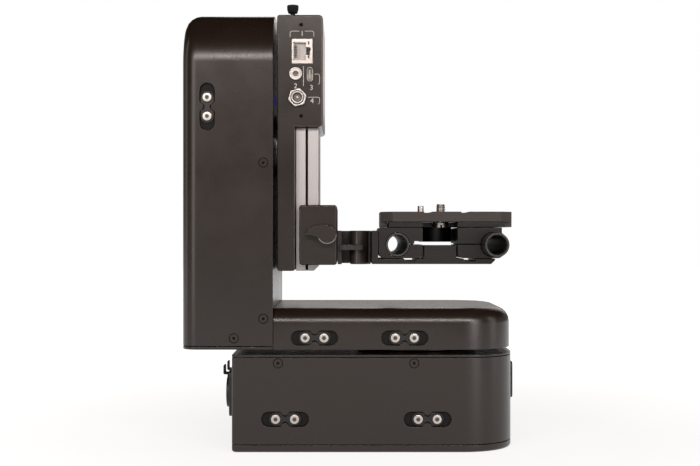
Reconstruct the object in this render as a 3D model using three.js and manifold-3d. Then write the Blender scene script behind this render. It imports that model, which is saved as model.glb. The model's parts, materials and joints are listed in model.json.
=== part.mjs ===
import * as THREE from "three";
import { mergeVertices } from "three/addons/utils/BufferGeometryUtils.js";
import Module from "manifold-3d";

// A remote pan tilt head: a pan base, an L shaped arm, a tilting cradle and a rod platform.
// Millimetres, +Z up. The pan axis is the Z axis and the base stands on Z = 0.
// The viewer of the front stands at -Y, and the tower is on the left, at -X.

// Fits shared by every piece
const seatGap = 0.3;
const overrun = 5;

// Housings of the base and the arm
const housingDepth = 120;
const endRadius = 34;
const softEdge = 10;
const smallCorner = 2;
const housingWall = 4;

// Clamp bars in their pockets
const pocketLength = 30.6;
const pocketHeight = 9.6;
const pocketWaist = 4.6;
const pocketWaistLength = 6.4;
const pocketDepth = 2.4;
const barLength = 20.6;
const barHeight = 8.4;
const barWaist = 3;
const barWaistLength = 5.4;
const barThickness = 1.5;
const barScrewSpacing = 12.1;
const barScrewHole = 1.8;

// Pan base
const baseLength = 182.7;
const baseReach = 61.1;
const bottomPlateThickness = 4.8;
const bottomPlateEdge = 2;
const baseShellHeight = 55.65;
const topPlateThickness = 1.6;
const rimThickness = 4;
const rimHeight = 9;
const basePocketHeight = 21.35;
const basePocketLeft = -87.4;
const basePocketRight = 3.9;
const endCoverWidth = 46;
const endCoverHeight = 24.3;
const endCoverThickness = 1.8;
const endCoverMiddle = 42.6;
const endCoverCorner = 3;

// Connectors on the left end of the base
const connectorPitch = 27.5;
const connectorHeight = 33.8;
const panelThickness = 2;
const panelMargin = 3;
const flangeWidth = 26;
const flangeHeight = 31;
const flangeThickness = 2.2;
const flangeCorner = 3.5;
const connectorBodyRadius = 10.5;
const connectorBodyFront = 2.1;
const connectorBodyBack = 11;
const connectorRearRadius = 11.5;
const connectorBore = 7.6;
const connectorBoreDepth = 13;
const connectorCore = 4.6;
const connectorCoreInset = 5.4;
const latchWidth = 8;
const latchHeight = 6.6;
const latchReach = 4.3;
const latchThickness = 1.25;
const latchLift = 1.1;

// Pan drive
const panPulleyRadius = 30;
const panMotorPulleyRadius = 9;
const pulleyWidth = 8;
const pulleyFlange = 1.6;
const pulleyFlangeThickness = 1;
const beltThickness = 1.4;
const panPulleyBottom = 42;
const shaftRadius = 15;
const shaftBore = 8;
const shaftBelow = 1;
const bearingHeight = 8;
const bearingRadius = 27;
const bearingGroove = 1.2;
const bossWall = 4;
const turntableRadius = 40;
const turntableLift = 0.35;
const motorSize = 42;
const motorCorner = 5;
const motorLength = 32;
const motorBossRadius = 11;
const motorShaftRadius = 2.5;
const mountThickness = 3;
const mountWidth = 48;
const mountFlangeThickness = 4;
const mountFlangeWidth = 26;
const slipRingRadius = 11;
const slipRingFlangeRadius = 16;
const slipRingFlangeThickness = 3;
const slipBracketWidth = 34;
const slipBracketLevel = 12;
const slipBracketFlangeHeight = 16;
const boardThickness = 1.6;
const boardLength = 42;
const boardWidth = 84;
const boardLeft = -62;
const standoffHeight = 4;
const standoffRadius = 3;
const standoffInset = 6;

// Arm
const armLift = 3.2;
const footHeight = 26.45;
const footReach = 60.1;
const towerReach = 95.2;
const towerWidth = 58.7;
const towerBottomThickness = 1.95;
const sidePlateThickness = 3;
const sideRimDepth = 9;
const floorThickness = 6;
const floorRailHeight = 8;
const floorRailThickness = 6;
const floorRailLeft = -84;
const floorRailRight = 8;
const footPocketHeight = 7.55;
const footPocketLeft = -68.5;
const footPocketRight = -10.8;
const towerPocketInset = 16.6;
const towerPocketHeight = 155.6;
const windowWidth = 14;
const windowHeight = 6;
const windowHeightAbove = 29.7;
const windowInset = 23;

// Tilt drive
const tiltClearance = 106.5;
const tiltPulleyRadius = 26;
const tiltMotorPulleyRadius = 9;
const tiltMotorRise = 53;
const tiltShaftRadius = 12;
const tiltShaftBore = 6;
const tiltBearingRadius = 21;
const tiltFlangeRadius = 22;
const tiltFlangeThickness = 1.75;
const tiltMountBottom = 12;
const tiltMountHeadroom = 7.7;
const motorHeadroom = 11.7;

// Cradle
const cradleGap = 2.35;
const tiltPlateThickness = 11.65;
const tiltPlateHeight = 165.4;
const tiltPlateDepth = 108;
const tiltPlateBevel = 1;
const tiltPlateCorner = 1.6;
const boxWidth = 18;
const boxHeight = 72.4;
const boxDepth = 82.6;
const boxWall = 2.6;
const boxCorner = 2.4;
const boxBevel = 1.4;
const boxCoverThickness = 2;
const boxSeat = 1.9;
const panelHole = 1.3;
const panelHoleX = 17.9;
const panelHoleTop = 76.2;
const panelHoleBottom = 17.3;

// Sockets on the front of the connector housing
const networkWidth = 13.4;
const networkHeight = 15.9;
const networkLength = 20;
const networkX = 18.6;
const networkZ = 59.1;
const networkOpening = 11.6;
const networkOpeningWidth = 8.2;
const networkShell = 0.9;
const networkPocket = 13;
const networkLatchWidth = 2.6;
const networkLatchHeight = 5.2;
const jackX = 14.35;
const jackZ = 44.5;
const jackRadius = 4.05;
const jackBore = 1.75;
const jackBoreDepth = 12;
const jackRim = 1;
const jackBodyRadius = 3;
const jackLength = 15;
const usbX = 23.5;
const usbZ = 44.2;
const usbWidth = 3.9;
const usbHeight = 9.2;
const usbWall = 0.4;
const usbLength = 8;
const usbTongue = 0.7;
const usbTongueInset = 0.7;
const usbTongueHeight = 6.4;
const usbProud = 0.3;
const dcX = 15.5;
const dcZ = 29.1;
const dcBarrelRadius = 4.2;
const dcBore = 3.1;
const dcBoreDepth = 10;
const dcPinRadius = 0.9;
const dcPinInset = 0.7;
const dcLength = 16;
const dcProud = 2.6;
const dcNutRadius = 6.2;
const dcNutTurn = Math.PI / 12;
const dcNutThickness = 1.9;
const connectorBoardHeight = 60;
const connectorBoardDepth = 34;
const connectorBoardFront = 7.5;

// Pull knob on top of the tilt plate
const plungerX = 11.15;
const knobY = -20;
const knobTopRadius = 3.9;
const knobBottomRadius = 3.15;
const knobHeight = 5.4;
const knobLift = 6.7;
const plungerRadius = 3.2;
const plungerDepth = 18;
const plungerPin = 1.6;
const plungerPinProud = 3;
const plungerHexRadius = 4.4;
const plungerHexHeight = 2.6;

// Height rail and its carriage
const railBase = 6.3;
const railNeck = 1.5;
const railHead = 6.9;
const railDepth = 64;
const railFront = 6;
const railNeckInset = 4;
const railChamfer = 3;
const carriageWidth = 24.3;
const carriageHeight = 38.5;
const carriageDepth = 84;
const carriageDrop = 59.45;
const carriageLeft = 16.8;
const carriageFront = 5.7;
const carriageCorner = 1.6;
const carriageBevel = 1;
const leverX = 34.8;
const leverZ = 0.5;
const leverHubRadius = 6.2;
const leverHubThickness = 6.4;
const leverReach = 14.7;
const leverTipRadius = 1.6;
const leverThickness = 4;
const leverStud = 2.5;
const leverStudDepth = 8;

// Side bracket between the carriage and the platform
const bracketFlange = 2.7;
const bracketHeight = 21.8;
const bracketFront = 8;
const bracketDepth = 44;
const bracketBackWall = 8;
const bracketBodyLeft = 8.2;
const bracketBodyWidth = 11.8;
const bracketRib = 3.2;
const bracketRibFront = 5;
const bracketRibWidth = 13.6;
const bracketWidth = 21.5;

// Rod platform: outer ends of the clamps and the base lie past the axis of their rod,
// and inner ends of the clamps are measured from the middle
const rodRadius = 7.5;
const rodBore = 6.2;
const rodSpacing = 60;
const rodLength = 150;
const rodDrop = 6.15;
const platformAhead = 15.5;
const platformDepth = 52;
const rightRodForward = 22.5;
const rodBaseLeft = 16.1;
const rodBaseRight = 1.5;
const rodBaseDrop = 12.2;
const rodBaseRise = 0.5;
const rodBaseChamfer = 2.6;
const upstandThickness = 3.9;
const upstandRise = 8.9;
const clampOuter = 11.9;
const leftClampInner = 14.15;
const rightClampInner = 7.8;
const rightClampReach = 5.7;
const rightClampCollar = 9.4;
const clampDrop = 8.5;
const clampRise = 10.8;
const clampCorner = 3.4;
const clampSlit = 0.6;
const clampMouthLength = 5.3;
const clampMouthHeight = 2.2;
const clampPadGap = 1.75;
const clampPadWidth = 7.6;
const clampPadShift = 4;
const pocketClear = 0.9;
const bridgeThickness = 3.15;
const bridgeInset = 0.7;
const lockClear = 0.75;
const lockDrop = 1.7;
const plateWidth = 83.2;
const plateShift = 1.1;
const plateThickness = 6.3;
const plateLipWidth = 4.2;
const plateLipDrop = 3.4;
const plateChamfer = 7.5;
const plateGroove = 5.2;
const plateGrooveDepth = 0.7;
const plateGrooveShift = 11.7;
const screwX = -1.45;
const screwY = 19.5;
const screwRadius = 3.05;
const screwHeight = 5.15;
const screwHeadRadius = 5.15;
const screwHeadHeight = 3.4;
const screwTravel = 3.5;
const screwDriveSlot = 1.3;
const screwSlotLength = 26;
const pinX = -14.35;
const pinRadius = 1.95;
const pinHeight = 4;
const pinDepth = 4;

// Counts of flats round a circle
const fineRound = 10;
const mediumRound = 16;
const largeRound = 32;
const edgeSteps = 4;
const softSteps = 5;
const endSteps = 9;

// How much of a slot's half width its round ends take
const roundEndShare = 0.96;

// Places worked out from the sizes
const halfDepth = housingDepth / 2;
const baseRight = baseReach;
const baseLeft = baseRight - baseLength;
const shellBottom = bottomPlateThickness + seatGap;
const shellTop = shellBottom + baseShellHeight;
const topPlateBottom = shellTop + seatGap;
const baseTop = topPlateBottom + topPlateThickness;
const armBottom = baseTop + armLift;
const towerInner = -towerReach;
const towerOuter = towerInner - towerWidth;
const towerPocketX = towerOuter + towerPocketInset;
const floorBottom = towerBottomThickness + seatGap;
const floorTop = floorBottom + floorThickness;
const tiltHeight = footHeight + tiltClearance;
const tiltMotorZ = tiltHeight + tiltMotorRise;
const towerHeight = tiltMotorZ + motorSize / 2 + motorHeadroom;
const innerDepth = halfDepth - housingWall - seatGap;
const pulleyTotal = pulleyWidth + pulleyFlangeThickness * 2;

const wasm = await Module();
wasm.setup();

const unitX = new THREE.Vector3(1, 0, 0);
const unitY = new THREE.Vector3(0, 1, 0);
const unitZ = new THREE.Vector3(0, 0, 1);

// Each drawing plane: x draws in Y and Z, y draws in X and Z, z draws in X and Y
const planes = {
  x: new THREE.Matrix4().makeBasis(unitY, unitZ, unitX),
  y: new THREE.Matrix4().makeBasis(unitX, unitZ, unitY.clone().negate()),
  z: new THREE.Matrix4(),
};

// The axis that a revolved outline turns about
const spins = {
  x: new THREE.Matrix4().makeBasis(unitY, unitX, unitZ.clone().negate()),
  y: new THREE.Matrix4(),
  z: new THREE.Matrix4().makeBasis(unitX, unitZ, unitY.clone().negate()),
};

// A closed solid from a geometry: shared corners are merged and faces turned outwards
function toSolid(geometry) {
  const bare = geometry.index ? geometry.toNonIndexed() : geometry.clone();
  bare.deleteAttribute("normal");
  bare.deleteAttribute("uv");
  const merged = mergeVertices(bare);
  const corners = merged.index.array;
  const kept = [];
  for (let i = 0; i < corners.length; i += 3) {
    const [a, b, c] = [corners[i], corners[i + 1], corners[i + 2]];
    if (a !== b && b !== c && c !== a) kept.push(a, b, c);
  }
  const vertProperties = new Float32Array(merged.attributes.position.array);
  const volume = signedVolume(vertProperties, kept);
  if (volume < 0) kept.reverse();
  const triVerts = new Uint32Array(kept);
  return new wasm.Manifold(new wasm.Mesh({ numProp: 3, vertProperties, triVerts }));
}

// Six times the volume inside the triangles, negative when they face inwards
function signedVolume(places, triangles) {
  const [a, b, c] = [new THREE.Vector3(), new THREE.Vector3(), new THREE.Vector3()];
  let total = 0;
  for (let i = 0; i < triangles.length; i += 3) {
    a.fromArray(places, triangles[i] * 3);
    b.fromArray(places, triangles[i + 1] * 3);
    c.fromArray(places, triangles[i + 2] * 3);
    total += a.dot(b.cross(c));
  }
  return total;
}

function toGeometry(solid) {
  const mesh = solid.getMesh();
  const geometry = new THREE.BufferGeometry();
  geometry.setAttribute("position", new THREE.BufferAttribute(mesh.vertProperties, mesh.numProp));
  geometry.setIndex(new THREE.BufferAttribute(mesh.triVerts, 1));
  geometry.computeVertexNormals();
  return geometry;
}

function join(...solids) {
  return solids.reduce((whole, solid) => whole.add(solid));
}

function cut(body, ...tools) {
  return tools.reduce((rest, tool) => rest.subtract(tool), body);
}

function arcPoints(x, y, radius, from, to, steps) {
  const points = [];
  for (let i = 0; i <= steps; i += 1) {
    const angle = from + ((to - from) * i) / steps;
    points.push(new THREE.Vector2(x + radius * Math.cos(angle), y + radius * Math.sin(angle)));
  }
  return points;
}

function circle(x, y, radius, flats = mediumRound) {
  return arcPoints(x, y, radius, 0, Math.PI * 2, flats).slice(0, flats);
}

// A rectangle whose corners have their own radii: lower left, lower right, upper right, upper left
function roundedRectangle(left, low, right, high, radii, steps = edgeSteps) {
  const corners = [
    [left, low, 1, 1, Math.PI],
    [right, low, -1, 1, Math.PI * 1.5],
    [right, high, -1, -1, 0],
    [left, high, 1, -1, Math.PI / 2],
  ];
  return corners.flatMap(([x, y, signX, signY, start], i) => {
    const radius = radii[i];
    if (radius === 0) return [new THREE.Vector2(x, y)];
    return arcPoints(x + signX * radius, y + signY * radius, radius, start, start + Math.PI / 2, steps);
  });
}

// A rectangle with one radius or one chamfer all round
function plainRectangle(left, low, right, high, radius = 0, steps = edgeSteps) {
  return roundedRectangle(left, low, right, high, [radius, radius, radius, radius], steps);
}

// Round ends joined by sides that draw in to a waist
function waistedOutline(x, y, length, height, waist, waistLength) {
  const radius = height / 2;
  const shape = new THREE.Shape();
  const end = length / 2 - radius;
  shape.moveTo(end, -radius);
  shape.absarc(end, 0, radius, -Math.PI / 2, Math.PI / 2, false);
  shape.lineTo(waistLength / 2, radius);
  shape.quadraticCurveTo(0, waist - radius, -waistLength / 2, radius);
  shape.lineTo(-end, radius);
  shape.absarc(-end, 0, radius, Math.PI / 2, Math.PI * 1.5, false);
  shape.lineTo(-waistLength / 2, -radius);
  shape.quadraticCurveTo(0, radius - waist, waistLength / 2, -radius);
  return shifted(shape.getPoints(edgeSteps), x, y);
}

function turned(points) {
  return points.map((point) => new THREE.Vector2(-point.y, point.x));
}

function shifted(points, x, y) {
  return points.map((point) => new THREE.Vector2(point.x + x, point.y + y));
}

// An outline drawn in the plane across an axis and pushed from one place on it to another
function extrude(axis, outline, from, to, holes = [], bevel = 0) {
  const shape = new THREE.Shape(outline);
  shape.holes = holes.map((hole) => new THREE.Path(hole));
  const geometry = new THREE.ExtrudeGeometry(shape, {
    depth: to - from - bevel * 2,
    bevelEnabled: bevel > 0,
    bevelThickness: bevel,
    bevelSize: bevel,
    bevelOffset: -bevel,
    bevelSegments: 2,
    steps: 1,
  });
  geometry.translate(0, 0, bevel);
  geometry.applyMatrix4(planes[axis]);
  const start = axis === "y" ? to : from;
  const move = { x: unitX, y: unitY, z: unitZ }[axis].clone().multiplyScalar(start);
  geometry.translate(move.x, move.y, move.z);
  return toSolid(geometry);
}

function block(x0, x1, y0, y1, z0, z1) {
  const geometry = new THREE.BoxGeometry(x1 - x0, y1 - y0, z1 - z0);
  geometry.translate((x0 + x1) / 2, (y0 + y1) / 2, (z0 + z1) / 2);
  return toSolid(geometry);
}

// A round bar along an axis, centred at two places in the plane across it
function bar(axis, across, up, radius, from, to, flats = mediumRound) {
  return extrude(axis, circle(across, up, radius, flats), from, to);
}

// A profile of radius and place along an axis, turned about it
function revolve(axis, profile, x, y, z, flats = mediumRound) {
  const points = profile.map(([radius, along]) => new THREE.Vector2(radius, along));
  const geometry = new THREE.LatheGeometry([...points, points[0].clone()], flats);
  geometry.applyMatrix4(spins[axis]);
  geometry.translate(x, y, z);
  return toSolid(geometry);
}

// Rings of equal counts joined one after the other, with a flat face at each end
function loft(axis, rings) {
  const count = rings[0].outline.length;
  const places = rings.flatMap((ring) => ring.outline.flatMap((point) => [point.x, point.y, ring.at]));
  const faces = [];
  for (let ring = 0; ring < rings.length - 1; ring += 1) {
    for (let i = 0; i < count; i += 1) {
      const [a, b] = [ring * count + i, ring * count + ((i + 1) % count)];
      faces.push(a, b, b + count, a, b + count, a + count);
    }
  }
  const last = (rings.length - 1) * count;
  for (const [a, b, c] of THREE.ShapeUtils.triangulateShape(rings[0].outline, [])) {
    faces.push(a, c, b, last + a, last + b, last + c);
  }
  const geometry = new THREE.BufferGeometry();
  geometry.setAttribute("position", new THREE.Float32BufferAttribute(places, 3));
  geometry.setIndex(faces);
  geometry.applyMatrix4(planes[axis]);
  return toSolid(geometry);
}

// A rounded bar whose edge at the soft end is a quarter round of the given radius
function softBar(axis, outlineAt, from, to, radius, softAtStart = false) {
  const rings = [{ outline: outlineAt(0), at: softAtStart ? to : from }];
  for (let i = 0; i <= softSteps; i += 1) {
    const angle = ((Math.PI / 2) * i) / softSteps;
    const rise = radius * (1 - Math.sin(angle));
    const outline = outlineAt(radius * (1 - Math.cos(angle)));
    rings.push({ outline, at: softAtStart ? from + rise : to - rise });
  }
  if (softAtStart) rings.reverse();
  return loft(axis, rings);
}

// A flat band round two pulleys at the same height
function beltLoop(axis, first, second, width, at) {
  const outer = hullOfCircles(first, second, beltThickness + seatGap);
  const inner = hullOfCircles(first, second, seatGap);
  return extrude(axis, outer, at, at + width, [inner]);
}

// The outline round two circles, each given as x, y and radius
function hullOfCircles(first, second, grow) {
  const along = new THREE.Vector2(second.x - first.x, second.y - first.y);
  const turn = along.angle();
  const side = Math.acos((first.radius - second.radius) / along.length());
  return [
    ...arcPoints(second.x, second.y, second.radius + grow, turn - side, turn + side, mediumRound),
    ...arcPoints(first.x, first.y, first.radius + grow, turn + side, turn + Math.PI * 2 - side, mediumRound),
  ];
}

const finishes = {
  painted: [0x3a3532, 0.5, 0.3],
  anodised: [0x2c2928, 0.45, 0.5],
  steel: [0xb9b6b2, 0.3, 0.9],
  bright: [0xd3cecb, 0.35, 0.8],
  plastic: [0x17171a, 0.5, 0],
  rubber: [0x1b1b1c, 0.85, 0],
  board: [0x1f5b3a, 0.5, 0],
  blue: [0x2a2ad0, 0.3, 0],
};

function piece(group, name, solid, finish) {
  const [color, roughness, metalness] = finishes[finish];
  const material = new THREE.MeshStandardMaterial({ color, roughness, metalness });
  const mesh = new THREE.Mesh(toGeometry(solid), material);
  mesh.name = name;
  group.add(mesh);
}

// The plan of the base or the foot: square at the left, with large corners at the right
function housingPlan(left, right, inset, leftRadius) {
  const large = endRadius - inset;
  return roundedRectangle(
    left + inset,
    inset - halfDepth,
    right - inset,
    halfDepth - inset,
    [leftRadius, large, large, leftRadius],
    endSteps,
  );
}

function basePlan(inset, leftRadius = smallCorner) {
  return housingPlan(baseLeft, baseRight, inset, leftRadius);
}

// A flanged pulley: plain rim with a lip above and below the belt
function pulleyProfile(radius, bore) {
  const lip = pulleyFlangeThickness;
  return [
    [bore, 0],
    [radius + pulleyFlange, 0],
    [radius + pulleyFlange, lip],
    [radius, lip],
    [radius, lip + pulleyWidth],
    [radius + pulleyFlange, lip + pulleyWidth],
    [radius + pulleyFlange, pulleyTotal],
    [bore, pulleyTotal],
  ];
}

// A waisted bar with two screw holes, drawn at a place in the front plane
function clampBar(x, z, front, upright = false) {
  const outline = waistedOutline(0, 0, barLength, barHeight, barWaist, barWaistLength);
  const half = barScrewSpacing / 2;
  const holes = [circle(-half, 0, barScrewHole, fineRound), circle(half, 0, barScrewHole, fineRound)];
  const place = (points) => shifted(upright ? turned(points) : points, x, z);
  return extrude("y", place(outline), front, front + barThickness, holes.map(place));
}

function pocketCut(x, z, upright = false) {
  const outline = waistedOutline(0, 0, pocketLength, pocketHeight, pocketWaist, pocketWaistLength);
  const place = shifted(upright ? turned(outline) : outline, x, z);
  return extrude("y", place, -halfDepth - overrun, -halfDepth + pocketDepth);
}

const barFront = -halfDepth + pocketDepth - seatGap - barThickness;

const baseGroup = new THREE.Group();

function bottomPlate() {
  const height = bottomPlateThickness + overrun;
  const slab = softBar("z", (inset) => basePlan(inset), 0, height, bottomPlateEdge, true);
  const far = baseLength * 2;
  const lid = block(-far, far, -housingDepth, housingDepth, bottomPlateThickness, height * 2);
  const board = boardPosts(boardLeft, boardLeft + boardLength, boardWidth / 2, bottomPlateThickness);
  return join(cut(slab, lid), ...board);
}

// Four posts that reach a little into the plate below and carry a board
function boardPosts(left, right, halfWidth, level) {
  const top = level + standoffHeight;
  const root = level - bottomPlateThickness / 2;
  return [left + standoffInset, right - standoffInset].flatMap((x) =>
    [-halfWidth + standoffInset, halfWidth - standoffInset].map((y) =>
      bar("z", x, y, standoffRadius, root, top, fineRound),
    ),
  );
}

function boardSlab(left, right, halfWidth, level) {
  const bottom = level + standoffHeight + seatGap;
  return block(left, right, -halfWidth, halfWidth, bottom, bottom + boardThickness);
}

const connectorPlaces = [-connectorPitch / 2, connectorPitch / 2];

function baseHousing() {
  const outer = extrude("z", basePlan(0), shellBottom, shellTop);
  const inner = extrude("z", basePlan(housingWall, smallCorner), shellBottom - overrun, shellTop + overrun);
  const pockets = [basePocketLeft, basePocketRight].map((x) => pocketCut(x, basePocketHeight));
  const bores = connectorPlaces.map((y) =>
    bar("x", y, connectorHeight, connectorRearRadius, baseLeft - overrun, baseLeft + housingWall * 2),
  );
  return cut(outer, inner, ...pockets, ...bores);
}

function topPlate() {
  const cap = extrude("z", basePlan(0), topPlateBottom, baseTop);
  const rimOutline = basePlan(housingWall + seatGap, smallCorner);
  const rimInside = basePlan(housingWall + seatGap + rimThickness, smallCorner);
  const rimBottom = topPlateBottom - rimHeight;
  const rim = extrude("z", rimOutline, rimBottom, topPlateBottom + topPlateThickness / 2, [rimInside]);
  const bossRadius = bearingRadius + seatGap + bossWall;
  const bossBottom = topPlateBottom - bearingHeight;
  const boss = bar("z", 0, 0, bossRadius, bossBottom, baseTop - topPlateThickness / 2, largeRound);
  const seatTop = topPlateBottom - seatGap;
  const seat = bar("z", 0, 0, bearingRadius + seatGap, bossBottom - overrun, seatTop, largeRound);
  const bore = bar("z", 0, 0, shaftRadius + seatGap, bossBottom - overrun, baseTop + overrun, largeRound);
  return cut(join(cap, rim, boss), seat, bore);
}

function endCover() {
  const half = endCoverWidth / 2;
  const low = endCoverMiddle - endCoverHeight / 2;
  const outline = plainRectangle(-half, low, half, low + endCoverHeight, endCoverCorner);
  const from = baseRight + seatGap;
  return extrude("x", outline, from, from + endCoverThickness, [], endCoverThickness / 4);
}

// A ball bearing as one ring with a groove in each face
function bearing(axis, inner, outer, from, height, y = 0, z = 0) {
  const middle = (inner + outer) / 2;
  const half = (outer - inner) / 4;
  const profile = [
    [inner, 0],
    [middle - half, 0],
    [middle - half, bearingGroove],
    [middle + half, bearingGroove],
    [middle + half, 0],
    [outer, 0],
    [outer, height],
    [middle + half, height],
    [middle + half, height - bearingGroove],
    [middle - half, height - bearingGroove],
    [middle - half, height],
    [inner, height],
  ];
  const place = axis === "z" ? [0, 0, from] : [from, y, z];
  return revolve(axis, profile, ...place);
}

const bearingTop = topPlateBottom - seatGap * 2;
const bearingBottom = topPlateBottom - bearingHeight;

function connectorPanel() {
  const reach = connectorPitch / 2 + flangeWidth / 2 + panelMargin;
  const half = flangeHeight / 2 + panelMargin;
  const low = connectorHeight - half;
  const outline = plainRectangle(-reach, low, reach, connectorHeight + half, flangeCorner);
  const holes = connectorPlaces.map((y) => circle(y, connectorHeight, connectorRearRadius));
  return extrude("x", outline, baseLeft - seatGap - panelThickness, baseLeft - seatGap, holes);
}

const flangeBack = baseLeft - seatGap - panelThickness - seatGap;
const flangeFront = flangeBack - flangeThickness;
const connectorFront = flangeFront - connectorBodyFront;
const latchFoot = connectorHeight + connectorBodyRadius;

// A round bodied socket on a square flange, with a core inside its bore
function panelConnector(y) {
  const half = flangeWidth / 2;
  const low = connectorHeight - flangeHeight / 2;
  const outline = plainRectangle(y - half, low, y + half, low + flangeHeight, flangeCorner);
  const flange = extrude("x", outline, flangeFront, flangeBack);
  const front = bar("x", y, connectorHeight, connectorBodyRadius, connectorFront, flangeBack);
  const rearRadius = connectorRearRadius - seatGap;
  const rearEnd = flangeBack + connectorBodyBack;
  const rear = bar("x", y, connectorHeight, rearRadius, flangeFront, rearEnd);
  const boreEnd = connectorFront + connectorBoreDepth;
  const bore = bar("x", y, connectorHeight, connectorBore, connectorFront - overrun, boreEnd);
  const coreFront = connectorFront + connectorCoreInset;
  const core = bar("x", y, connectorHeight, connectorCore, coreFront, (boreEnd + rearEnd) / 2);
  return join(cut(join(flange, front, rear), bore), core);
}

// The release hook that slides above a connector's round body: a bent strip
function latchTab(y) {
  const low = latchFoot + latchLift;
  const half = latchWidth / 2;
  const high = low + latchHeight;
  const tip = flangeFront - seatGap - latchReach;
  const back = flangeFront - seatGap;
  const ease = latchThickness / 2;
  const outline = [
    [tip + ease, low],
    [back, low],
    [back, low + latchThickness],
    [tip + latchThickness, low + latchThickness],
    [tip + latchThickness, high - ease],
    [tip + ease, high],
    [tip, high - ease],
    [tip, low + ease],
  ];
  const points = outline.map(([x, z]) => new THREE.Vector2(x, z));
  return extrude("y", points, y - half, y + half);
}

// The square body of a motor with a round boss on the side of its shaft
function motorBody(axis, y, z, from, to, bossTo) {
  const half = motorSize / 2;
  const outline = plainRectangle(y - half, z - half, y + half, z + half, motorCorner, 1);
  const body = extrude(axis, outline, from, to);
  return join(body, bar(axis, y, z, motorBossRadius, to - motorCorner, bossTo));
}

// A pulley on the shaft of its motor
function motorPulley(axis, y, z, radius, at, shaftFrom) {
  const place = axis === "z" ? [y, z, at] : [at, y, z];
  const wheel = revolve(axis, pulleyProfile(radius, 0), ...place);
  return join(wheel, bar(axis, y, z, motorShaftRadius, shaftFrom, at + pulleyTotal / 2, fineRound));
}

const mountBottom = panPulleyBottom - seatGap - mountThickness;
const motorTop = mountBottom - seatGap;
const flangeLow = basePocketHeight - barHeight;

// A bridge between the front and back walls that holds the pan motor under it
function panMotorMount() {
  const left = basePocketLeft - mountWidth / 2;
  const right = basePocketLeft + mountWidth / 2;
  const top = mountBottom + mountThickness;
  const plate = block(left, right, -innerDepth, innerDepth, mountBottom, top);
  const half = mountFlangeWidth / 2;
  const inside = innerDepth - mountFlangeThickness;
  const [low, high] = [basePocketLeft - half, basePocketLeft + half];
  const front = block(low, high, -innerDepth, -inside, flangeLow, top);
  const back = block(low, high, inside, innerDepth, flangeLow, top);
  const hole = bar("z", basePocketLeft, 0, motorBossRadius + seatGap, mountBottom - overrun, top + overrun);
  return cut(join(plate, front, back), hole);
}

// A low bridge under the pan axis that carries the fixed half of the slip ring
function slipRingBracket() {
  const half = slipBracketWidth / 2;
  const [left, right] = [basePocketRight - half, basePocketRight + half];
  const plateTop = slipBracketLevel + mountThickness;
  const top = slipBracketLevel + slipBracketFlangeHeight;
  const inside = innerDepth - mountFlangeThickness;
  const plate = block(left, right, -innerDepth, innerDepth, slipBracketLevel, plateTop);
  const front = block(left, right, -innerDepth, -inside, slipBracketLevel, top);
  const back = block(left, right, inside, innerDepth, slipBracketLevel, top);
  return join(plate, front, back);
}

const slipRingBottom = slipBracketLevel + mountThickness + seatGap;
const shaftBottom = panPulleyBottom - shaftBelow;
const slipRingTop = shaftBottom - seatGap;

function slipRing() {
  const height = slipRingTop - slipRingBottom;
  const profile = [
    [0, 0],
    [slipRingFlangeRadius, 0],
    [slipRingFlangeRadius, slipRingFlangeThickness],
    [slipRingRadius, slipRingFlangeThickness],
    [slipRingRadius, height],
    [0, height],
  ];
  return revolve("z", profile, 0, 0, slipRingBottom);
}

const armGroup = new THREE.Group();
armGroup.position.set(0, 0, armBottom);

const tableTop = floorBottom - seatGap;
const tableBottom = baseTop + turntableLift - armBottom;

// The turning flange between base and arm, with the hollow pan shaft below it
function turntable() {
  const bottom = shaftBottom - armBottom;
  const profile = [
    [shaftBore, bottom],
    [shaftRadius, bottom],
    [shaftRadius, tableBottom],
    [turntableRadius, tableBottom],
    [turntableRadius, tableTop],
    [shaftBore, tableTop],
  ];
  return revolve("z", profile, 0, 0, 0, largeRound);
}

function panPulley() {
  const profile = pulleyProfile(panPulleyRadius, shaftRadius + seatGap);
  return revolve("z", profile, 0, 0, panPulleyBottom - armBottom);
}

// The low cover of the arm: a soft edge on top, hollow and open below
function footCover() {
  const left = towerInner + seatGap;
  const start = left - softEdge * 2;
  const plan = (inset) => housingPlan(start, footReach, inset, softEdge + smallCorner);
  const outer = softBar("z", plan, 0, footHeight, softEdge);
  const roof = footHeight - housingWall;
  const innerPlan = (inset) => plan(inset + housingWall);
  const inner = softBar("z", innerPlan, -overrun, roof, softEdge - housingWall);
  const trim = block(left - housingDepth, left, -housingDepth, housingDepth, -overrun, footHeight + overrun);
  const pockets = [footPocketLeft, footPocketRight].map((x) => pocketCut(x, footPocketHeight));
  return cut(outer, inner, trim, ...pockets);
}

// The plate inside the arm that carries the covers, with a rail along each long side
function armFloor() {
  const inset = housingWall + seatGap;
  const outline = housingPlan(towerOuter, footReach, inset, softEdge - inset);
  const plate = extrude("z", outline, floorBottom, floorTop);
  const railTop = floorTop + floorRailHeight;
  const middle = (floorBottom + floorTop) / 2;
  const inside = innerDepth - floorRailThickness;
  const front = block(floorRailLeft, floorRailRight, -innerDepth, -inside, middle, railTop);
  const back = block(floorRailLeft, floorRailRight, inside, innerDepth, middle, railTop);
  const bore = bar("z", 0, 0, shaftBore, floorBottom - overrun, floorTop + overrun);
  return cut(join(plate, front, back), bore);
}

// The side view of the tower, drawn in Y and Z, with large corners at the top
function towerSide(low, inset, top = towerHeight) {
  const large = endRadius - inset;
  const small = softEdge + smallCorner;
  return roundedRectangle(
    inset - halfDepth,
    low + inset,
    halfDepth - inset,
    top - inset,
    [small, small, large, large],
    endSteps,
  );
}

const towerCoverBottom = towerBottomThickness + seatGap;

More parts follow.
